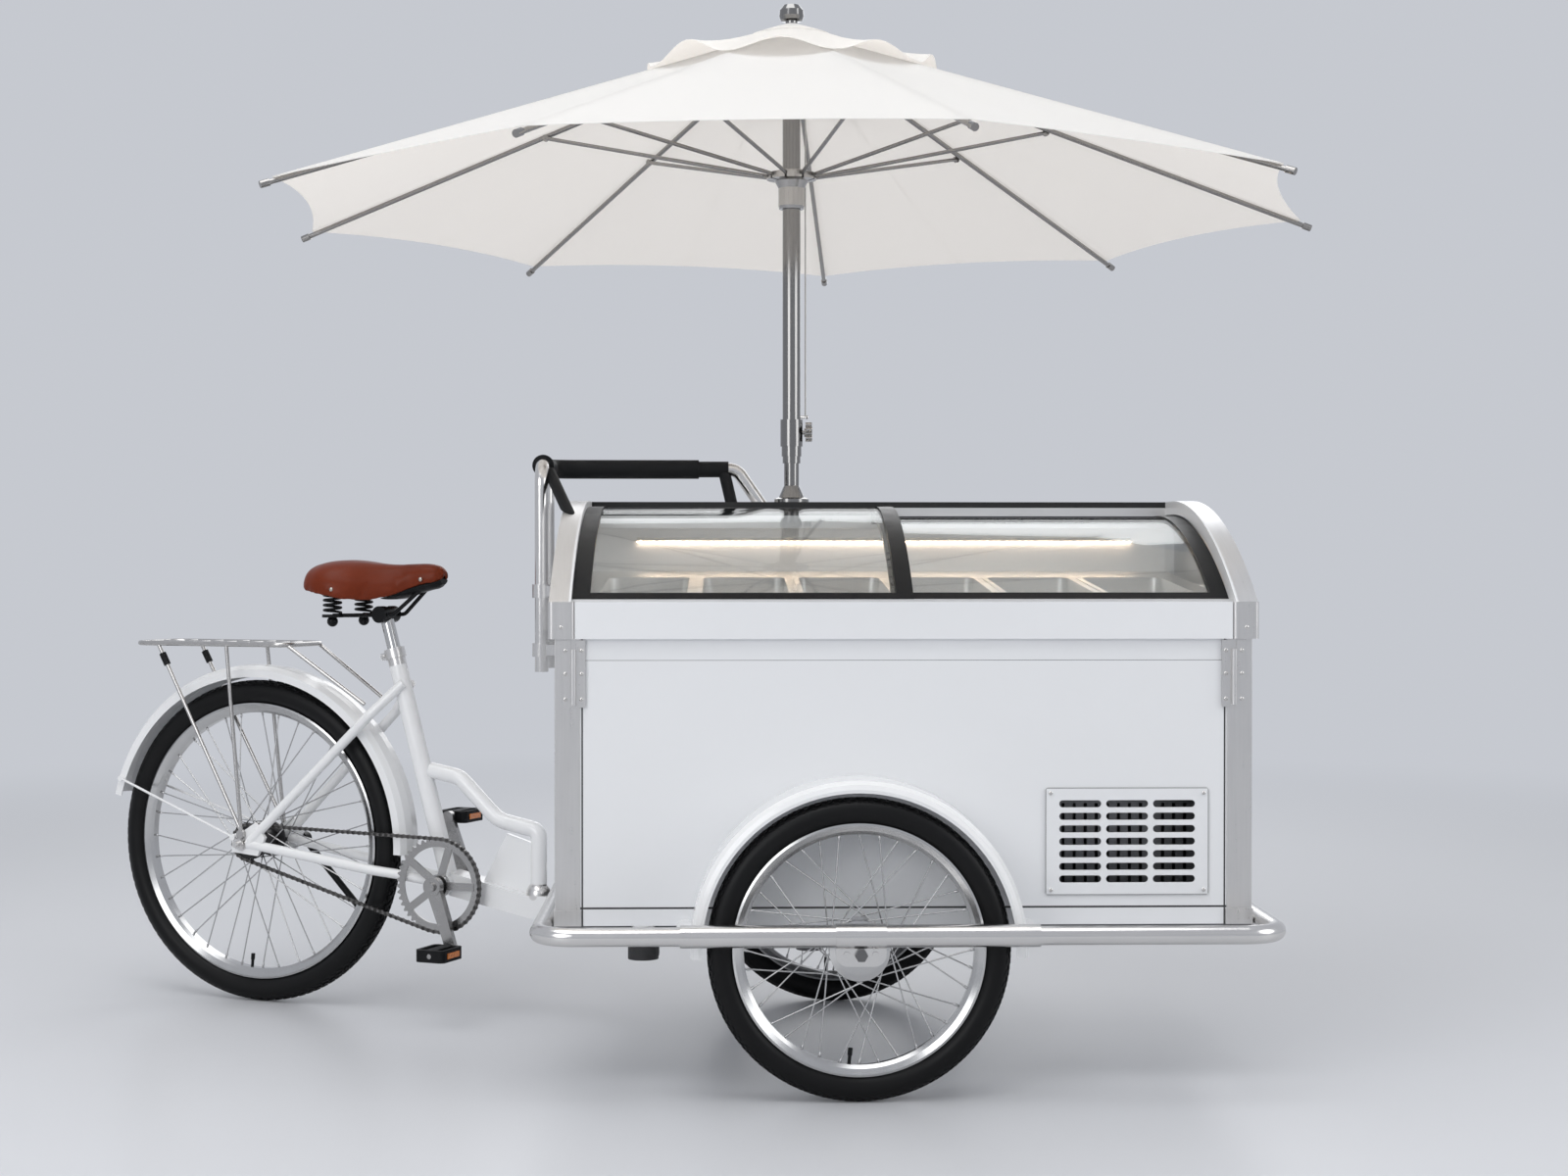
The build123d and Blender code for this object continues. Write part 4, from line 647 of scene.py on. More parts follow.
# Wheels: body, tyre node, tyre radius and width in metres, then in millimetres the rim's
# inside, the hub flange's radius and its distance from the wheel's middle
WHEELS = (
    ("front_wheel_near", "front_tyre_near", 0.257, 0.046, 194.9, 52.6, 21.0),
    ("front_wheel_far", "front_tyre_far", 0.257, 0.046, 194.9, 52.6, 21.0),
    ("rear_wheel", "rear_tyre", 0.333, 0.050, 265.9, 37.6, 33.5),
)
SPOKES = 36
SPOKE_LEAN = 55.0
VALVE_TURN = math.radians(-95.0)

# Tyres: half of the section's turn, the tread's half and its lanes in degrees, the spacing
# of lugs in lengths of a lug, and their slant
TYRE_WRAP = 152
TREAD_HALF = math.radians(42)
TREAD_LANES = (-38.0, -20.0, 0.0, 20.0, 38.0)
LUG_SPACING = 1.75
LUG_SLANT = 0.35

# Fasteners and trim: rivet and hinge on each post, screws in from the vent's corners,
# reflectors on a pedal, and the carrier's stay with the sleeve near its top
POST_RIVET = (592.0, 381.5, 798.0)
HINGE = (571.0, 375.2, 718.0)
HINGE_X, HINGE_Z = (-14.0, 14.0), (-44.0, 0.0, 40.0)
VENT_SCREW = 0.009
REFLECTOR_OUT, REFLECTOR_SIZE = 0.0322, (0.044, 0.011, 0.0024)
STAY_TOP, STAY_FOOT = (-1435.0, 72.0, 742.0), (-1226.0, 77.0, 359.0)
SLEEVE = (0.024, 0.050)


def mast(r, angle, z):
    """A point round the mast: radius and height in millimetres."""
    return drawn(MAST_XY[0] + r * math.cos(angle), MAST_XY[1] + r * math.sin(angle), z)


def panel_ray(share, scallop):
    """How far the cover reaches on a panel's ray, between its middle (0) and a rib (-1 or 1)."""
    chord = COVER_OUT * math.cos(RIB_STEP / 2)
    x = chord
    for _ in range(12):
        x = chord - scallop * (1 - (share * x / chord) ** 2)
    return x


def cover_grid(rib_angle, sag, scallop, columns=10, rows=22):
    """The cloth over one rib, from the middle of one panel to the middle of the next."""
    lean = math.tan(RIB_STEP / 2)
    near = COVER_IN * math.cos(RIB_STEP / 2)
    fall = COVER_FALL / math.cos(RIB_STEP / 2)
    grid = []
    for j in range(rows + 1):
        row = []
        for i in range(2 * columns + 1):
            side = -1 if i < columns else 1
            share = 1 - abs(i - columns) / columns
            middle = rib_angle + side * RIB_STEP / 2
            far = panel_ray(share, scallop)
            x = near + (far - near) * j / rows
            y = -side * share * x * lean
            dip = sag * (1 - share * share) * math.sin(math.pi * (j / rows) ** 0.8)
            row.append(drawn(
                MAST_XY[0] + x * math.cos(middle) - y * math.sin(middle),
                MAST_XY[1] + x * math.sin(middle) + y * math.cos(middle),
                COVER_APEX - fall * x - dip,
            ))
        grid.append(row)
    return grid


def sheet_mesh(rows, width, length):
    """A sheet's mesh with its own map in metres: across and along."""
    bm = bmesh.new()
    layer = bm.loops.layers.uv.new("Cloth")
    grid = skin(bm, rows)
    place = {}
    for j, line in enumerate(grid):
        for i, vert in enumerate(line):
            place[vert] = (width * i / (len(line) - 1), length * j / (len(grid) - 1))
    for face in bm.faces:
        for loop in face.loops:
            loop[layer].uv = place[loop.vert]
    bm.normal_update()
    if sum(face.normal.z for face in bm.faces) < 0:
        bmesh.ops.reverse_faces(bm, faces=bm.faces)
    return as_is(bm)


def thick_cloth(mesh, thickness, materials):
    """A sheet's mesh with its thickness, the second material on its inner face."""
    for material in materials:
        mesh.materials.append(material)
    holder = linked("holder", mesh)
    solid = holder.modifiers.new("Thickness", "SOLIDIFY")
    solid.thickness = thickness
    solid.offset = -1.0
    solid.material_offset = 1
    solid.material_offset_rim = 0
    made = evaluated(holder)
    bpy.data.objects.remove(holder)
    return made


def path_length(points):
    """Length of a line of points, in metres."""
    return sum((b - a).length for a, b in zip(points, points[1:]))


def middle_of(node):
    """Middle of a node's box, in metres."""
    low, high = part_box(node)
    return (Vector(low) + Vector(high)) / 2


def axle_of(body, node):
    """Direction of a wheel's axle and the point of it in a node's middle plane."""
    axis = Vector(JOINTS[f"{body}_spin"]["axis"])
    start = joint_at(f"{body}_spin")
    return axis, start + axis * axis.dot(middle_of(node) - start)


def tyre_mesh(centre, axis, radius, section, lug, rubber, grow):
    """A tyre's carcass and the lugs of its tread, their tops on the full radius."""
    half = section / 2
    depth = lug[2]
    profile = []
    steps, rings = 26, 112
    for k in range(steps + 1):
        a = math.radians(-TYRE_WRAP + 2 * TYRE_WRAP * k / steps)
        r = radius - half + half * math.cos(a)
        if abs(a) < TREAD_HALF:
            r -= depth * (1 - (abs(a) / TREAD_HALF) ** 4)
        profile.append((r, half * math.sin(a)))
    inner = [(radius - section + 0.003, profile[end][1] * 0.8) for end in (-1, 0)]
    bm = bmesh.new()
    skin(bm, turned_rows(centre, axis, profile + inner, rings), wrap_row=True, wrap_column=True)
    carcass = mesh_of(bm)
    carcass.materials.append(rubber)
    axis = axis.normalized()
    places = []
    count = int(2 * math.pi * radius / (lug[0] * LUG_SPACING))
    for lane, tilt in enumerate(TREAD_LANES):
        a = math.radians(tilt)
        foot = (radius - half + half * math.cos(a) - depth / 2, half * math.sin(a))
        for (point,) in turned_rows(centre, axis, [foot], count):
            out = point - centre
            out -= axis * out.dot(axis)
            out.normalize()
            aim = out * math.cos(a) + axis * math.sin(a)
            run = axis.cross(out)
            if lane % 2:
                turn = Matrix.Rotation(math.pi / count, 3, axis)
                point = centre + turn @ (point - centre)
                aim = turn @ aim
                run = turn @ run
            slant = LUG_SLANT if lane % 2 else -LUG_SLANT
            places.append((point, aim, (run + aim.cross(run) * slant).normalized()))
    return joined([carcass, grow.mesh(places, {"Size": lug}, rubber)])


def chain_places():
    """Middle, side and direction of every link round chainring and sprocket."""
    big = LINK * RING_TEETH / (2 * math.pi)
    small = LINK * COG_TEETH / (2 * math.pi)
    ring, cog = joint_at("crank_spin"), joint_at("rear_wheel_spin")
    ring_uz = ((ring - cog).dot(AHEAD) * 1000, ring.z * 1000)
    cog_uz = (0.0, cog.z * 1000)
    du, dz = ring_uz[0] - cog_uz[0], ring_uz[1] - cog_uz[1]
    span = math.hypot(du, dz)
    base = math.atan2(dz, du)
    lean = math.acos((small - big) / span)
    path = []
    for (u, z), radius, start, turn, steps in (
        (cog_uz, small, base + lean, 2 * math.pi - 2 * lean, 80),
        (ring_uz, big, base - lean, 2 * lean, 120),
    ):
        for k in range(steps + 1):
            a = start + turn * k / steps
            path.append((u + radius * math.cos(a), z + radius * math.sin(a)))
    path.append(path[0])
    lengths = np.cumsum([0.0] + [math.dist(path[k], path[k + 1]) for k in range(len(path) - 1)])
    count = 2 * round(lengths[-1] / LINK / 2)
    marks = np.arange(count) * lengths[-1] / count
    us = np.interp(marks, lengths, [p[0] for p in path])
    zs = np.interp(marks, lengths, [p[1] for p in path])
    pins = []
    for u, z in zip(us, zs):
        rise = Vector((0, 0, z / 1000 - cog.z))
        pins.append(cog + AHEAD * (u / 1000) + SIDE * (CHAIN_V / 1000) + rise)
    places = []
    for k in range(count):
        a, b = pins[k], pins[(k + 1) % count]
        places.append(((a + b) / 2, SIDE, (b - a).normalized()))
    return places


# Saddle sections: forward of the post, half width, lowest and highest, in millimetres
SADDLE_RINGS = (
    (-164, 40, -2, 22), (-152, 74, -8, 36), (-122, 99, -15, 47), (-86, 105, -22, 50),
    (-46, 92, -31, 47), (-6, 66, -31, 42), (34, 45, -21, 40), (74, 32, -6, 43),
    (108, 27, 3, 44), (130, 21, 8, 39), (141, 9, 15, 29),
)
SADDLE_STEPS = 40
# The base under the nose begins and ends here, and hangs this far down
BASE_FROM, BASE_TO = 14.0, 137.0
BASE_DROP = 10.0
# Rivets: forward of the post, up and to the side
SADDLE_RIVETS = ((-68.0, -6.0, 100.5), (96.0, 14.0, 30.0))
# The padding's mesh size in metres and the pressure that blows it out
PAD_VOXEL, PAD_PRESSURE = 0.0032, 4.0


def saddle_ring(du, half, low, high, inset, sides=22):
    """One cross section of the saddle's skin, from the near edge over the crown to the far one."""
    row = []
    for k in range(sides + 1):
        a = math.pi * k / sides
        c, s = math.cos(a), math.sin(a)
        v = (half - inset) * math.copysign(abs(c) ** 0.72, c)
        z = low + (high - inset - low) * abs(s) ** 0.8
        row.append(cycle(SADDLE_U + du, -v, SADDLE_Z + z))
    return row


def smooth_rings(count):
    """The saddle's sections, evenly spaced on smooth curves."""
    table = np.array(SADDLE_RINGS, float)
    at = np.linspace(table[0, 0], table[-1, 0], count)
    found = [at]
    for column in (1, 2, 3):
        slope = np.gradient(table[:, column], table[:, 0])
        values = []
        for x in at:
            i = min(np.searchsorted(table[:, 0], x, side="right") - 1, len(table) - 2)
            i = max(i, 0)
            h = table[i + 1, 0] - table[i, 0]
            t = (x - table[i, 0]) / h
            a, b = table[i, column], table[i + 1, column]
            values.append(
                a * (2 * t ** 3 - 3 * t ** 2 + 1) + slope[i] * h * (t ** 3 - 2 * t ** 2 + t)
                + b * (3 * t ** 2 - 2 * t ** 3) + slope[i + 1] * h * (t ** 3 - t ** 2)
            )
        found.append(np.array(values))
    return np.stack(found, axis=1)


def saddle_shell(wall):
    """The leather cover as a closed shell: crown outside, hollow underneath."""
    rings = smooth_rings(SADDLE_STEPS)
    outer = [saddle_ring(*ring, 0.0) for ring in rings]
    inner = [saddle_ring(du * 0.955, half, low, high, wall) for du, half, low, high in rings]
    bm = bmesh.new()
    a = skin(bm, outer)
    b = skin(bm, inner)
    for side in (0, -1):
        for i in range(len(a) - 1):
            bm.faces.new((a[i][side], a[i + 1][side], b[i + 1][side], b[i][side]))
    for end in (0, -1):
        for j in range(len(a[0]) - 1):
            bm.faces.new((a[end][j], a[end][j + 1], b[end][j + 1], b[end][j]))
    return mesh_of(bm)


def saddle_base(wall):
    """The black base pan under the nose, from the post to the tip."""
    sides = 20
    rows = []
    for du, half, low, _ in smooth_rings(SADDLE_STEPS):
        if not BASE_FROM <= du <= BASE_TO:
            continue
        begin = math.sin(math.pi * min(1.0, (du - BASE_FROM) / 60.0) / 2)
        drop = BASE_DROP * begin * min(1.0, (150.0 - du) / 30.0)
        ring = []
        for k in range(sides):
            turn = 2 * math.pi * k / sides
            c, s = math.cos(turn), math.sin(turn)
            v = (wall * 0.5 - half) * math.copysign(abs(c) ** 0.7, c) * (1.0 if s > 0 else 1 + 0.25 * s)
            z = low + 2.0 + (3.0 * s if s > 0 else (drop + 2.0) * s)
            ring.append(cycle(SADDLE_U + du, v, SADDLE_Z + z))
        rows.append(ring)
    bm = bmesh.new()
    capped(bm, rows)
    return mesh_of(bm)


def relax(mesh, rounds):
    """Evens out a mesh's points."""
    bm = bmesh.new()
    bm.from_mesh(mesh)
    axes = {f"use_axis_{axis}": True for axis in "xyz"}
    for _ in range(rounds):
        bmesh.ops.smooth_vert(bm, verts=bm.verts, factor=0.5, **axes)
    bm.to_mesh(mesh)
    bm.free()
    mesh.update()


def swell(mesh, cap, frames=20):
    """Blows the leather out by a cloth simulation, and keeps every point within the cap."""
    obj = linked("swell", mesh)
    remesh = obj.modifiers.new("Remesh", "REMESH")
    remesh.mode = "VOXEL"
    remesh.voxel_size = PAD_VOXEL
    fine = evaluated(obj)
    obj.modifiers.clear()
    obj.data = fine
    relax(fine, 8)
    start = np.array([v.co for v in fine.vertices])
    cloth = obj.modifiers.new("Cloth", "CLOTH")
    cloth.settings.use_pressure = True
    cloth.settings.uniform_pressure_force = PAD_PRESSURE
    cloth.settings.effector_weights.gravity = 0.0
    scene = bpy.context.scene
    for k in range(1, frames + 1):
        scene.frame_set(k)
    graph = bpy.context.evaluated_depsgraph_get()
    moved = np.array([v.co for v in obj.evaluated_get(graph).data.vertices])
    obj.modifiers.clear()
    scene.frame_set(1)
    step = moved - start
    length = np.linalg.norm(step, axis=1, keepdims=True)
    step *= np.minimum(1.0, cap / np.maximum(length, 1e-9))
    fine.vertices.foreach_set("co", (start + step).astype(np.float32).ravel())
    relax(fine, 6)
    bpy.data.objects.remove(obj)
    return fine


def dress(material, *names):
    """Gives CAD nodes a finish."""
    for name in names:
        for place in NODES[name].material_slots:
            place.material = material


def axis_distance(f, point, axis):
    """Distance of the surface from a line, as a value."""
    kind = "ShaderNodeVectorMath"
    offset = f.add(kind, {"operation": "SUBTRACT"}, {0: f.place(), 1: tuple(point)})
    cross = f.add(kind, {"operation": "CROSS_PRODUCT"}, {0: offset, 1: tuple(axis)})
    return f.add(kind, {"operation": "LENGTH"}, {0: cross}, "Value")


def point_distance(f, point):
    """Distance of the surface from a point, as a value."""
    ends = {0: f.place(), 1: tuple(point)}
    return f.add("ShaderNodeVectorMath", {"operation": "DISTANCE"}, ends, "Value")


def panel_paint(name, colour, seams, uprights):
    """Coated sheet panel with thin dark seams at given heights and given places along it."""
    f = Finish(name)
    where = f.place()
    groove = None
    for axis, places in (("Z", seams), ("X", uprights)):
        level = f.along(axis)
        for seam, width in places:
            off = level - seam
            line = off.math("ABSOLUTE", off, 0.0) < width
            groove = line if groove is None else groove.math("MAXIMUM", groove, line)
    drift = f.noise(where, 3.0, 3.0)
    peel = f.noise(where, 300.0, 2.0)
    dust = f.noise(where, 12.0, 4.0, 0.6)
    base = f.tint(drift * 0.7 + dust * 0.3, shade(colour, 0.985), shade(colour, 1.01))
    return f.done(f.surface(
        Base_Color=f.tint(groove, base, BLACKENED), Roughness=0.3 + (dust - 0.5) * 0.04,
        Coat_Weight=0.2, Coat_Roughness=0.16,
        Normal=f.bump(peel * 0.15 - groove * 3.0, 0.15, 0.0004),
    ))


def edged_paint(name, colour, box, width):
    """Gloss paint with a line of shade round the edge of an upright plate."""
    f = Finish(name)
    inside = None
    for axis, column in (("X", 0), ("Z", 2)):
        level = f.along(axis)
        between = (level > box[0][column] + width) * (level < box[1][column] - width)
        inside = between if inside is None else inside * between
    dust = f.noise(f.place(), 38.0, 5.0, 0.6)
    return f.done(f.surface(
        Base_Color=f.tint(inside * (dust * 0.1 + 0.9), shade(colour, 0.42), shade(colour, 1.02)),
        Roughness=0.3 + (dust - 0.5) * 0.06, Coat_Weight=0.25, Coat_Roughness=0.1,
    ))


def frame_paint(name, colour, steel, lines, spots):
    """Gloss frame paint with bare steel round given lines and spots."""
    f = Finish(name)
    bare = None
    for point, axis, reach in lines:
        mask = axis_distance(f, point, axis) < reach
        bare = mask if bare is None else bare + mask
    for point, reach in spots:
        bare = bare + (point_distance(f, point) < reach)
    bare = bare.math("MINIMUM", bare, 1.0)
    drift = f.noise(f.place(), 6.0, 3.0)
    peel = f.noise(f.place(), PEEL, 2.0)
    dust = f.noise(f.place(), 40.0, 6.0, 0.7)
    paint = f.tint(drift * 0.6 + dust * 0.4, shade(colour, 0.96), shade(colour, 1.02))
    return f.done(f.surface(
        Base_Color=f.tint(bare, paint, steel), Metallic=bare,
        Roughness=0.22 + (dust - 0.5) * 0.05 + bare * 0.06,
        Coat_Weight=0.4 - bare * 0.4, Coat_Roughness=0.07, Normal=f.bump(peel, 0.08, 0.0002),
    ))


def hub_metal(name, colour, point, axis, reach):
    """Polished wheel metal with a blackened drum and sprocket round the axle."""
    f = Finish(name)
    drum = axis_distance(f, point, axis) < reach
    clouds = f.noise(f.place(), 30.0, 5.0, 0.6)
    grain = f.noise(f.place(), CAST_GRAIN, 2.0)
    bright = f.tint(clouds, shade(colour, 0.9), shade(colour, 1.05))
    return f.done(f.surface(
        Base_Color=f.tint(drum, bright, BLACKENED), Metallic=1.0 - drum * 0.4,
        Roughness=0.2 + (clouds - 0.5) * 0.12 + drum * 0.15, Normal=f.bump(grain, 0.03, 0.0001),
    ))


def hood_metal(name, colour, coat):
    """Brushed alloy end frames, with the coated hood between them."""
    f = Finish(name)
    along = f.along("X")
    hood = (along > SHIFT.x - HOOD_END) * (along < SHIFT.x + HOOD_END)
    lines = f.noise(f.place((1.0, 0.05, 0.05)), BRUSH, 4.0, 0.65)
    clouds = f.noise(f.place(), 8.0, 4.0)
    bright = f.tint(lines * 0.7 + clouds * 0.3, shade(colour, 0.9), shade(colour, 1.07))
    return f.done(f.surface(
        Base_Color=f.tint(hood, bright, coat), Metallic=1.0 - hood,
        Roughness=0.3 + (lines - 0.5) * 0.12 + (clouds - 0.5) * 0.05,
        Normal=f.bump(lines, 0.05, 0.0002),
    ))


def tub_metal(name, colour, dark, level, rough=0.28, above=False):
    """Satin tub steel, with black moulding below a level, or above it."""
    f = Finish(name)
    height = f.along("Z")
    black = height > level if above else height < level
    lines = f.noise(f.place((0.04, 1.0, 1.0)), BRUSH, 3.0, 0.6)
    clouds = f.noise(f.place(), 12.0, 4.0)
    bright = f.tint(lines * 0.5 + clouds * 0.5, shade(colour, 0.9), shade(colour, 1.06))
    return f.done(f.surface(
        Base_Color=f.tint(black, bright, dark), Metallic=1.0 - black,
        Roughness=rough + (lines - 0.5) * 0.18 + black * 0.2, Normal=f.bump(lines, 0.05, 0.0002),
    ))


def tint_property(name, text, colour):
    """A colour that the user can change."""
    return bpy.props.FloatVectorProperty(
        name=name, description=text, default=colour, size=3, min=0.0, max=1.0, subtype="COLOR"
    )


def length_property(name, text, value):
    """A length that the user can change, in metres."""
    return bpy.props.FloatProperty(
        name=name, description=text, default=value, min=0.0, unit="LENGTH", precision=4
    )


class CartColours(bpy.types.PropertyGroup):
    """Colours of the cart's finishes."""

    panel: tint_property("Panel", "Coated panels of the box", (0.80, 0.81, 0.83))
    paint: tint_property("Paint", "Gloss frame and mudguards", (0.87, 0.875, 0.885))
    stainless: tint_property("Stainless", "Posts, bumper and push handle", (0.68, 0.67, 0.66))
    alloy: tint_property("Alloy", "Arched end frames of the glass top", (0.74, 0.74, 0.74))
    tub: tint_property("Tub", "Pans, deck and tub", (0.80, 0.795, 0.785))
    spoke: tint_property("Wheel metal", "Rims, spokes and hubs", (0.52, 0.52, 0.52))
    black: tint_property("Black", "Lid frames, grips and pedals", (0.010, 0.0105, 0.0115))
    rubber: tint_property("Rubber", "Tyres", (0.0045, 0.0046, 0.005))
    leather: tint_property("Leather", "Saddle cover", (0.165, 0.026, 0.008))
    canvas: tint_property("Canvas", "Outside of the canopy", (0.94, 0.938, 0.93))
    # Lining: the same cloth as the canvas, painted darker and warmer on its inner face as painted shade
    # of the canopy's underside
    underside_shade: tint_property("Lining", "Inside of the canopy", (0.92, 0.895, 0.865))
    light: tint_property("Light", "Strip light over the pans", (1.0, 0.77, 0.56))


class CartSizes(bpy.types.PropertyGroup):
    """Sizes of the pieces that the solids leave out."""

    sag: length_property("Sag", "How far each canopy panel hangs between its ribs", 0.012)
    scallop: length_property("Scallop", "How far the free edge curves in between two ribs", 0.026)
    cloth: length_property("Cloth", "Thickness of the canopy cloth", 0.0012)
    ruffle: length_property("Ruffle", "Rise of the vent cap's edge between two ribs", 0.028)
    lug: bpy.props.FloatVectorProperty(
        name="Lug", description="Length, width and height of a tread block", size=3, unit="LENGTH",
        default=(0.0115, 0.0062, 0.0026), min=0.0, precision=4,
    )
    leather: length_property("Leather", "Thickness of the saddle's cover", 0.007)
    swell: length_property("Swell", "Most that the saddle's padding may push out", 0.004)


class CartStage(bpy.types.PropertyGroup):
    """Floor, background and lamps."""

    floor: tint_property("Floor", "Colour of the floor", (0.62, 0.63, 0.66))
    background: tint_property("Background", "Colour behind the cart", (0.565, 0.585, 0.63))
    ambient: bpy.props.FloatProperty(
        name="Ambient", description="Light from all round", default=0.46, min=0.0, subtype="FACTOR"
    )
    key: bpy.props.FloatProperty(
        name="Key", description="Power of the lamp over the cart", default=160.0, min=0.0, unit="POWER"
    )
    fill: bpy.props.FloatProperty(
        name="Fill", description="Power of the lamps round the cart", default=82.0, min=0.0, unit="POWER"
    )


def colours():
    """The scene's colours for the cart."""
    return bpy.context.scene.cart_colours


def sizes():
    """The scene's sizes for the cart."""
    return bpy.context.scene.cart_sizes


# Camera: lens and sensor in millimetres, place in metres, tilt down and turn in degrees
LENS, SENSOR = 54.6, 36.0
CAMERA_PLACE = (0.038, -4.814, 0.908)
CAMERA_DOWN, CAMERA_TURN = 0.59, -1.49
# Lamps: name, place, width, which power of the stage and how much of it
LAMPS = (
    ("Over", (-0.6, -1.2, 5.2), 5.0, "key", 1.0),
    ("Front", (-3.2, -5.0, 2.6), 3.4, "fill", 1.0),
    ("Side", (4.4, -2.4, 2.4), 3.0, "fill", 0.7),
    ("Behind", (0.8, 5.0, 3.2), 3.6, "fill", 0.7),
)
LAMPS_AIM = Vector((0.0, 0.0, 0.8))
# The floor's radius, and where it starts and ends to fade into the background, in metres
FLOOR_RADIUS = 10.5
FADE_FROM, FADE_TO = 2.6, 6.8
DAYLIGHT = (0.96, 0.98, 1.0, 1.0)


class CART_OT_stage(bpy.types.Operator):
    """Adds the camera, the pale floor, the background and soft lamps"""

    bl_idname = "cart.stage"
    bl_label = "Stage"

    def execute(self, context):
        stage = context.scene.cart_stage
        view = bpy.data.cameras.new("Camera")
        view.lens = LENS
        view.sensor_width = SENSOR
        camera = linked("Camera", view)
        camera.location = CAMERA_PLACE
        camera.rotation_euler = (math.radians(90 - CAMERA_DOWN), 0.0, math.radians(CAMERA_TURN))
        context.scene.camera = camera
        for name, place, size, power, share in LAMPS:
            lamp = bpy.data.lights.new(name, "AREA")
            lamp.shape = "DISK"
            lamp.size = size
            lamp.energy = getattr(stage, power) * share
            obj = linked(name, lamp)
            obj.location = place
            obj.visible_camera = False
            obj.rotation_euler = (LAMPS_AIM - obj.location).to_track_quat("-Z", "Y").to_euler()
        self.floor(stage)
        self.world(context.scene, stage)
        context.scene.view_settings.view_transform = "Standard"
        return {"FINISHED"}

    def floor(self, stage):
        """A wide disc whose rim fades into the background."""
        f = Finish("Floor")
        far = axis_distance(f, (0.0, 0.0, 0.0), (0.0, 0.0, 1.0))
        reach = {0: far, 1: FADE_FROM, 2: FADE_TO}
        fade = f.add("ShaderNodeMapRange", {"interpolation_type": "SMOOTHSTEP"}, reach)
        mottle = f.noise(f.place(), 1.6, 4.0)
        ground = f.surface(
            Base_Color=f.tint(mottle, shade(stage.floor, 0.985), shade(stage.floor, 1.015)),
            Roughness=0.36 + (mottle - 0.5) * 0.05, Specular_IOR_Level=0.3,
        )
        glow = f.add("ShaderNodeEmission", None, {"Color": (*stage.background, 1.0)})
        material = f.done(f.add("ShaderNodeMixShader", None, {0: fade, 1: ground, 2: glow}))
        bm = bmesh.new()
        bmesh.ops.create_circle(bm, cap_ends=True, segments=128, radius=FLOOR_RADIUS)
        mesh = as_is(bm)
        mesh.materials.append(material)
        floor = linked("Floor", mesh)

    def world(self, scene, stage):
        """Soft light from all round; the camera, mirrors and glass see the background."""
        world = bpy.data.worlds.new("Studio")
        world.use_nodes = True
        scene.world = world
        tree = world.node_tree
        tree.nodes.clear()
        ray = tree.nodes.new("ShaderNodeLightPath")
        seen = ray.outputs["Is Camera Ray"]
        for label in ("Is Glossy Ray", "Is Transmission Ray"):
            both = tree.nodes.new("ShaderNodeMath")
            both.operation = "MAXIMUM"
            tree.links.new(seen, both.inputs[0])
            tree.links.new(ray.outputs[label], both.inputs[1])
            seen = both.outputs[0]
        light = tree.nodes.new("ShaderNodeBackground")
        light.inputs["Color"].default_value = DAYLIGHT
        light.inputs["Strength"].default_value = stage.ambient
        shown = tree.nodes.new("ShaderNodeBackground")
        shown.inputs["Color"].default_value = (*stage.background, 1.0)
        mix = tree.nodes.new("ShaderNodeMixShader")
        tree.links.new(seen, mix.inputs[0])
        tree.links.new(light.outputs[0], mix.inputs[1])
        tree.links.new(shown.outputs[0], mix.inputs[2])
        end = tree.nodes.new("ShaderNodeOutputWorld")
        tree.links.new(mix.outputs[0], end.inputs["Surface"])


class CART_OT_pull_cord(bpy.types.Operator):
    """Strings the thin cord down the mast, with its knot and peg"""

    bl_idname = "cart.pull_cord"
    bl_label = "Pull Cord"

    def execute(self, context):
        top, low = CORD_TOP, CORD_LOW
        heights = (top, top - 120.0, (top + low) / 2, low + 60.0, low)
        route = [mast(CORD_REACH, CORD_TURN, z) for z in heights]
        f = Finish("Braided cord")
        plait = {"Vector": f.place(), "Scale": 300.0}
        strand = f.add("ShaderNodeTexWave", {"bands_direction": "DIAGONAL"}, plait, "Fac")
        fuzz = f.noise(f.place(), 900.0, 3.0)
        braid = f.done(f.surface(
            Base_Color=f.tint(strand * 0.6 + fuzz * 0.4, (0.60, 0.60, 0.58), (0.78, 0.77, 0.74)),
            Roughness=0.8, Normal=f.bump(strand, 0.5, 0.0004),
        ))
        curve = bpy.data.curves.new("Pull_cord", "CURVE")
        curve.dimensions = "3D"
        curve.bevel_depth = 0.0015
        curve.bevel_resolution = 3
        curve.use_fill_caps = True
        line = curve.splines.new("NURBS")
        line.points.add(len(route) - 1)
        for point, place in zip(line.points, route):
            point.co = (*place, 1.0)
        line.order_u = 3
        line.use_endpoint_u = True
        curve.materials.append(braid)
        cord = linked("Pull_cord", curve)
        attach(cord, "mast")
        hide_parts("pull_cord")
        upright = Vector((0.001, 0, 1))
        bead = turned_mesh(mast(CORD_REACH, CORD_TURN, KNOT_Z), upright, KNOT, 16)
        knot_piece = piece("Cord_knot", bead, "mast", [braid], ["pull_cord"])
        foot = mast(0.0, CORD_TURN, low)
        pin = turned_mesh(foot, mast(1000.0, CORD_TURN, low) - foot, PEG, 18)
        steel = polished_metal("Peg steel", colours().stainless)
        peg = piece("Cord_peg", pin, "mast", [steel], ["pull_cord"])
        return {"FINISHED"}


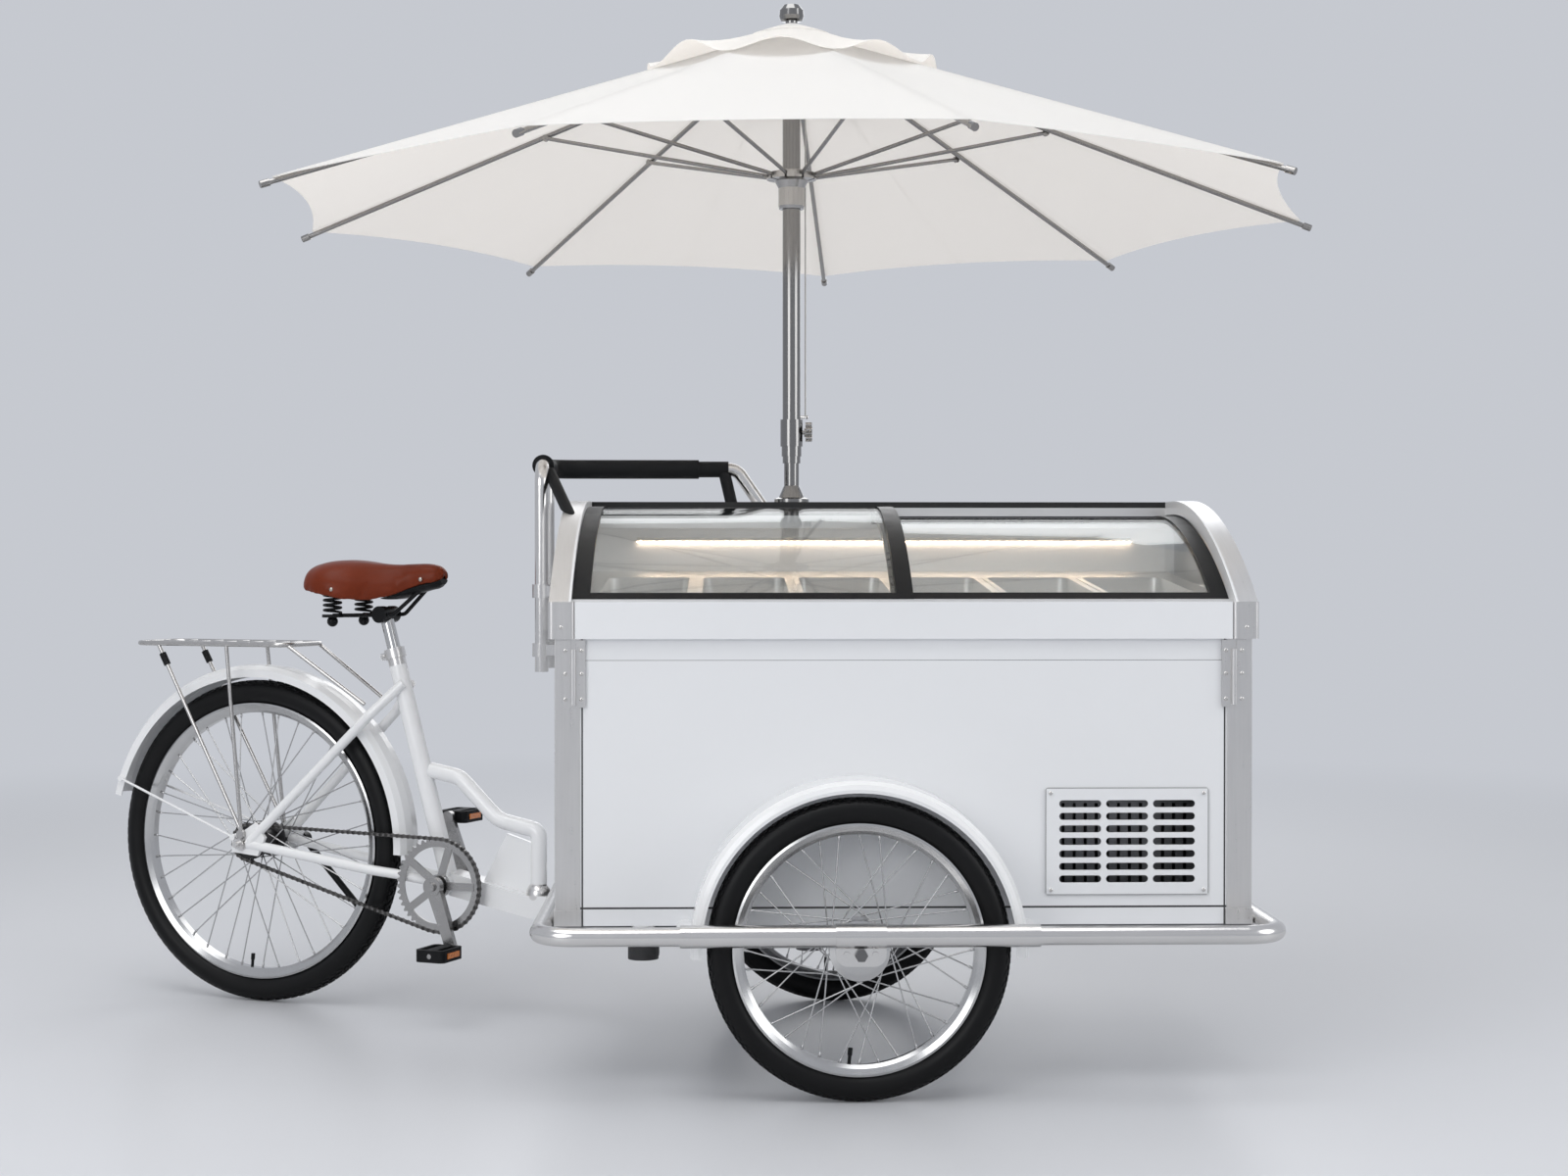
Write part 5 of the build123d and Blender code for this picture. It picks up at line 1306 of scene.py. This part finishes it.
class CART_OT_box(bpy.types.Operator):
    """Finishes the freezer box: panels, posts, tub, vents and bumper"""

    bl_idname = "cart.box"
    bl_label = "Freezer Box"

    def execute(self, context):
        c = colours()
        uprights = [(SHIFT.x + side * UPRIGHT_X, UPRIGHT_HALF) for side in (-1.0, 1.0)]
        dress(panel_paint("Coated panel", c.panel, PANEL_SEAMS, uprights), "cabinet")
        dress(gloss_paint("Rim moulding", shade(c.panel, 1.02), 0.26), "rim_band")
        # The vent plate's edge gets a line of painted shade
        dress(edged_paint("Vent plate", c.panel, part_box("vent_grille"), VENT_SHADE_WIDTH), "vent_grille")
        dress(brushed_metal("Post steel", c.stainless, (1.0, 1.0, 0.03)), "corner_trim")
        dress(brushed_metal("Bumper steel", c.stainless, (0.03, 1.0, 1.0), 0.22), "bumper")
        dress(brushed_metal("Handle steel", c.stainless, (1.0, 1.0, 0.1), 0.2), "handle")
        dress(hood_metal("End frame alloy", c.alloy, c.panel), "top_housing")
        dress(tub_metal("Tub steel", c.tub, (0.02, 0.02, 0.021), DRAIN_LEVEL), "liner")
        dress(tub_metal("Deck steel", c.tub, c.black, TRACK_LEVEL, 0.36, True), "pan_deck")
        dress(brushed_metal("Pan steel", c.tub, (1.0, 0.05, 1.0), 0.34), "pans")
        dress(brushed_metal("Cold unit metal", (0.30, 0.30, 0.31), (0.1, 1.0, 1.0), 0.45), "cold_unit")
        dress(gloss_paint("Chassis paint", (0.10, 0.10, 0.105), 0.45), "chassis")
        dress(black_moulding("Foam grip", shade(c.black, 1.2), 0.62, 1800.0, 0.0005), "handle_grip")
        return {"FINISHED"}


class CART_OT_glazing(bpy.types.Operator):
    """Finishes the sliding lids and the strip light"""

    bl_idname = "cart.glazing"
    bl_label = "Glass Top"

    def execute(self, context):
        c = colours()
        dress(black_moulding("Lid frame", c.black, 0.38, 1200.0), "lid_frame_left", "lid_frame_right")
        dress(clear_glass("Bent glass", (0.975, 0.98, 0.975)), "lid_glass_left", "lid_glass_right")
        dress(light_strip("Strip light", c.light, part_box("led_strip")[0]), "led_strip")
        return {"FINISHED"}


class CART_OT_cycle(bpy.types.Operator):
    """Finishes the cycle half: frame, mudguards, carrier, cranks and pedals"""

    bl_idname = "cart.cycle"
    bl_label = "Cycle Half"

    def execute(self, context):
        c = colours()
        lines = [(joint_at("rear_wheel_spin"), SIDE, AXLE_REACH)]
        spots = [(cycle(*COLLAR), COLLAR_REACH), (cycle(*BALL), BALL_REACH)]
        dress(frame_paint("Frame paint", c.paint, c.stainless, lines, spots), "rear_frame")
        dress(gloss_paint("Mudguard paint", c.paint, 0.2), "rear_fender", "front_fenders")
        dress(polished_metal("Carrier rod", (0.52, 0.51, 0.50), 0.26), "rack")
        dress(polished_metal("Crank alloy", (0.38, 0.375, 0.37), 0.26), "crankset")
        dress(black_moulding("Pedal", c.black, 0.5, 900.0), "pedal_near", "pedal_far")
        dress(black_moulding("Stand paint", c.black, 0.35, 700.0, 0.0001), "kickstand")
        dress(black_moulding("Spring paint", c.black, 0.3, 700.0, 0.0001), "saddle_springs")
        dress(polished_metal("Chrome", (0.58, 0.58, 0.58), 0.1), "seatpost")
        return {"FINISHED"}


class CART_OT_umbrella_metal(bpy.types.Operator):
    """Finishes the mast, runner, ribs and stretchers"""

    bl_idname = "cart.umbrella_metal"
    bl_label = "Umbrella Frame"

    def execute(self, context):
        c = colours()
        steel = brushed_metal("Mast steel", shade(c.stainless, 0.36), (1.0, 1.0, 0.05), 0.14)
        dress(steel, "mast_upper", "mast_lower")
        dress(polished_metal("Runner alloy", (0.44, 0.43, 0.42), 0.2), "runner", "clamp_knob")
        rods = polished_metal("Rib steel", (0.33, 0.32, 0.31), 0.24)
        dress(rods, *(f"{kind}_{k + 1}" for kind in ("rib", "strut") for k in range(RIBS)))
        return {"FINISHED"}


class CART_OT_canopy(bpy.types.Operator):
    """Spreads the canopy cloth over each rib and sets the vent cap on top"""

    bl_idname = "cart.canopy"
    bl_label = "Canopy"

    def execute(self, context):
        c, s = colours(), sizes()
        cloths = [
            canopy_cloth("Canopy cloth", c.canvas, (0.95, 0.93, 0.90), 0.50),
            # The inner face gets the darker, warmer colour: painted shade of the canopy's underside
            canopy_cloth("Canopy lining", c.underside_shade, (0.96, 0.935, 0.905), 0.76),
        ]
        for k in range(RIBS):
            rib = f"rib_{k + 1}"
            rows = cover_grid(FIRST_RIB + RIB_STEP * k, s.sag * 1000, s.scallop * 1000)
            middle = len(rows[0]) // 2
            width = (rows[-1][0] - rows[-1][-1]).length
            length = path_length([row[middle] for row in rows])
            cloth = self.sheet(f"Canopy_{k + 1}", rows, (width, length), rib, rib, cloths, s.cloth)
            self.fold(cloth, k)
        self.cap(cloths, s)
        return {"FINISHED"}

    def sheet(self, name, rows, flat, body, under, cloths, thickness):
        mesh = sheet_mesh(rows, *flat)
        mesh = thick_cloth(mesh, thickness, cloths)
        cloth = piece(name, mesh, body, [], ["canopy"], CLOTH_ANGLE)
        return cloth

    def fold(self, cloth, k):
        """Gives the cloth a mesh of its own."""
        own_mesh(cloth)

    def cap_point(self, t, rib, step, ruffle):
        """A point of the vent cap: from the crown (0) to the edge (1), by steps from a rib."""
        share = 1 - 2 * abs(step)
        panel = (rib if step > 0 else rib - 1) % RIBS
        lobe = 1.0 + CAP_LOBE * math.sin(2.3 * panel + 1.0)
        lift = (0.5 + 0.5 * math.cos(math.pi * share)) * t ** 3.0 * lobe
        r = CAP_IN + (CAP_OUT - CAP_DRAW * (1 - share * share) - CAP_IN) * t
        z = CAP_TOP - CAP_FALL * t ** CAP_BEND + lift * ruffle
        return mast(r, FIRST_RIB + RIB_STEP * (rib + step), z)

    def cap(self, cloths, s):
        """The vent cap: a piece on each rib, lifted between the ribs, and a crown on the mast."""
        ruffle = s.ruffle * 1000
        steps = [n / (2 * CAP_COLUMNS) for n in range(-CAP_COLUMNS, CAP_COLUMNS + 1)]
        shares = [CAP_START + (1 - CAP_START) * j / CAP_ROWS for j in range(CAP_ROWS + 1)]
        for k in range(RIBS):
            rib = f"rib_{k + 1}"
            rows = [[self.cap_point(t, k, step, ruffle) for step in steps] for t in shares]
            self.fold(self.cap_sheet(f"Vent_cap_{k + 1}", rows, rib, rib, cloths, s.cloth), k)
        ring = [(k, step) for k in range(RIBS) for step in steps[:-1]] + [(RIBS, steps[0])]
        rows = []
        for j in range(CROWN_ROWS + 1):
            t = CROWN_END * j / CROWN_ROWS
            rows.append([self.cap_point(t, k, step, ruffle) + CROWN_OVER for k, step in ring])
        self.cap_sheet("Vent_crown", rows, "mast", "mast_upper", cloths, s.cloth)

    def cap_sheet(self, name, rows, *rest):
        """One sheet of the cap, as wide as its outer edge."""
        flat = (path_length(rows[-1]), path_length([row[0] for row in rows]))
        return self.sheet(name, rows, flat, *rest)


class CART_OT_saddle(bpy.types.Operator):
    """Forms the padded leather saddle and its rivets"""

    bl_idname = "cart.saddle"
    bl_label = "Saddle"

    def execute(self, context):
        c, s = colours(), sizes()
        mesh = saddle_shell(s.leather * 1000)
        mesh = swell(mesh, s.swell)
        hide = saddle_leather("Saddle leather", c.leather)
        saddle = piece("Saddle", mesh, "seat", [hide], ["saddle"], LEATHER_ANGLE)
        smooth = saddle.modifiers.new("Smooth", "SUBSURF")
        smooth.levels = 1
        smooth.render_levels = 1
        base = black_moulding("Saddle base", c.black, 0.35, 900.0)
        piece("Saddle_base", saddle_base(s.leather * 1000), "seat", [base])
        places = []
        for du, z, v in SADDLE_RIVETS:
            for side in (-1.0, 1.0):
                head = cycle(SADDLE_U + du, side * v, SADDLE_Z + z)
                places.append((head, SIDE * side, AHEAD))
        steel = polished_metal("Rivet steel", (0.45, 0.42, 0.38), 0.2)
        studs = stud_growth().mesh(places, {"Radius": 0.0045, "Height": 0.0022}, steel)
        piece("Saddle_rivets", studs, "seat")
        return {"FINISHED"}


class CART_OT_tyres(bpy.types.Operator):
    """Moulds the three tyres with their tread"""

    bl_idname = "cart.tyres"
    bl_label = "Tyres"

    def execute(self, context):
        rubber = tyre_rubber("Tyre rubber", colours().rubber)
        grow = block_growth()
        lug = tuple(sizes().lug)
        for body, node, radius, section, *_ in WHEELS:
            axis, centre = axle_of(body, node)
            mesh = tyre_mesh(centre, axis, radius, section, lug, rubber, grow)
            name = node.replace("tyre", "tread")
            piece(name, mesh, body, [rubber], [node], TYRE_ANGLE)
        return {"FINISHED"}


class CART_OT_wheels(bpy.types.Operator):
    """Finishes the wheels and adds spoke nipples and valves"""

    bl_idname = "cart.wheels"
    bl_label = "Wheels"

    def execute(self, context):
        c = colours()
        bright = polished_metal("Wheel metal", c.spoke, 0.2)
        dress(bright, "front_wheel_near", "front_wheel_far")
        rear = joint_at("rear_wheel_spin")
        dress(hub_metal("Rear wheel metal", c.spoke, rear, SIDE, 0.0435), "rear_wheel")
        rubber = black_moulding("Valve rubber", c.black, 0.5)
        grow = stud_growth()
        for body, _, _, _, low, flange, flange_v in WHEELS:
            side, centre = axle_of(body, body)
            side = side if side.y > 0 else -side
            places = []
            for i in range(SPOKES):
                hand = 1 if i % 2 else -1
                lean = math.radians(SPOKE_LEAN if (i // 2) % 2 else -SPOKE_LEAN)
                a = math.radians(360.0 / SPOKES * i)
                rim = self.at(centre, side, low, a, hand * 4.0)
                hub = self.at(centre, side, flange, a + lean, hand * flange_v)
                along = (hub - rim).normalized()
                places.append((rim + along * 0.004, along, side))
            nipples = grow.mesh(places, {"Radius": 0.0024, "Height": 0.0058}, bright)
            piece(f"Nipples_{body}", nipples, body)
            bm = bmesh.new()
            for start, end, radius in ((0.0, 14.0, 0.0031), (14.5, 27.0, 0.0041)):
                stem = [self.at(centre, side, low - step, VALVE_TURN, 0.0) for step in (start, end)]
                tube(bm, stem, radius, 12)
            piece(f"Valve_{body}", mesh_of(bm), body, [rubber])
        return {"FINISHED"}

    def at(self, centre, side, r, a, v):
        """A point of a wheel by its radius, turn and distance from the middle, in millimetres."""
        up = Vector((0, 0, 1))
        ahead = side.cross(up)
        return centre + (ahead * (r * math.cos(a)) + up * (r * math.sin(a)) + side * v) / 1000


class CART_OT_chain(bpy.types.Operator):
    """Lays the roller chain round the chainring and the sprocket"""

    bl_idname = "cart.chain"
    bl_label = "Chain"

    def execute(self, context):
        steel = polished_metal("Chain steel", (0.17, 0.165, 0.16), 0.32)
        links = link_growth().mesh(chain_places(), {}, steel)
        piece("Chain_links", links, "cycle", [], ["chain"])
        return {"FINISHED"}


class CART_OT_fittings(bpy.types.Operator):
    """Adds rivets, hinge and vent screws, pedal reflectors and carrier sleeves"""

    bl_idname = "cart.fittings"
    bl_label = "Fittings"

    def execute(self, context):
        c = colours()
        steel = polished_metal("Fastener steel", (0.58, 0.57, 0.55), 0.22)
        right = Vector((1, 0, 0))
        heads = []
        for sy in (-1.0, 1.0):
            out = Vector((0, sy, 0))
            for sx in (-1.0, 1.0):
                x, y, z = POST_RIVET
                heads.append((drawn(sx * x, sy * y, z), out, right))
                x, y, z = HINGE
                for dx in HINGE_X:
                    for dz in HINGE_Z:
                        heads.append((drawn(sx * x + dx, sy * y, z + dz), out, right))
        low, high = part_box("vent_grille")
        for x in (low[0] + VENT_SCREW, high[0] - VENT_SCREW):
            for z in (low[2] + VENT_SCREW, high[2] - VENT_SCREW):
                heads.append((Vector((x, low[1], z)), Vector((0, -1, 0)), right))
        studs = stud_growth().mesh(heads, {"Radius": 0.0036, "Height": 0.0016}, steel)
        piece("Box_rivets", studs, "cart")
        amber = reflector("Amber reflector", (0.80, 0.22, 0.02))
        grow = block_growth()
        for name in ("pedal_near", "pedal_far"):
            bars = []
            for su in (-1.0, 1.0):
                bars.append((middle_of(name) + AHEAD * (su * REFLECTOR_OUT), AHEAD * su, SIDE))
            mesh = grow.mesh(bars, {"Size": REFLECTOR_SIZE}, amber)
            piece(f"Reflectors_{name}", mesh, name)
        dark = black_moulding("Carrier sleeve", c.black, 0.5)
        bm = bmesh.new()
        for sv in (-1.0, 1.0):
            top, foot = (cycle(u, sv * v, z) for u, v, z in (STAY_TOP, STAY_FOOT))
            along = (foot - top).normalized()
            tube(bm, [top + along * step for step in SLEEVE], 0.0072, 16)
        piece("Carrier_sleeves", mesh_of(bm), "cycle", [dark])
        return {"FINISHED"}


OPERATORS = (
    CART_OT_stage, CART_OT_pull_cord, CART_OT_box, CART_OT_glazing, CART_OT_cycle,
    CART_OT_umbrella_metal, CART_OT_canopy, CART_OT_saddle, CART_OT_tyres, CART_OT_wheels,
    CART_OT_chain, CART_OT_fittings,
)


class CART_PT_panel(bpy.types.Panel):
    """Colours, sizes and the steps that dress the cart"""

    bl_idname = "CART_PT_panel"
    bl_label = "Ice Cream Cart"
    bl_space_type = "VIEW_3D"
    bl_region_type = "UI"
    bl_category = "Cart"

    def draw(self, context):
        for group in (context.scene.cart_colours, context.scene.cart_sizes, context.scene.cart_stage):
            box = self.layout.box()
            for key in group.__annotations__:
                box.prop(group, key)
        for step in OPERATORS:
            self.layout.operator(step.bl_idname)


GROUPS = {"cart_colours": CartColours, "cart_sizes": CartSizes, "cart_stage": CartStage}
CLASSES = (*GROUPS.values(), *OPERATORS, CART_PT_panel)


def register():
    for item in CLASSES:
        bpy.utils.register_class(item)
    for name, group in GROUPS.items():
        setattr(bpy.types.Scene, name, bpy.props.PointerProperty(type=group))


def unregister():
    for name in GROUPS:
        delattr(bpy.types.Scene, name)
    for item in reversed(CLASSES):
        bpy.utils.unregister_class(item)


def main():
    """Registers the add-on and runs its steps in order."""
    register()
    for step in OPERATORS:
        area, name = step.bl_idname.split(".")
        getattr(getattr(bpy.ops, area), name)()
    bpy.context.view_layer.update()


if __name__ == "__main__":
    main()
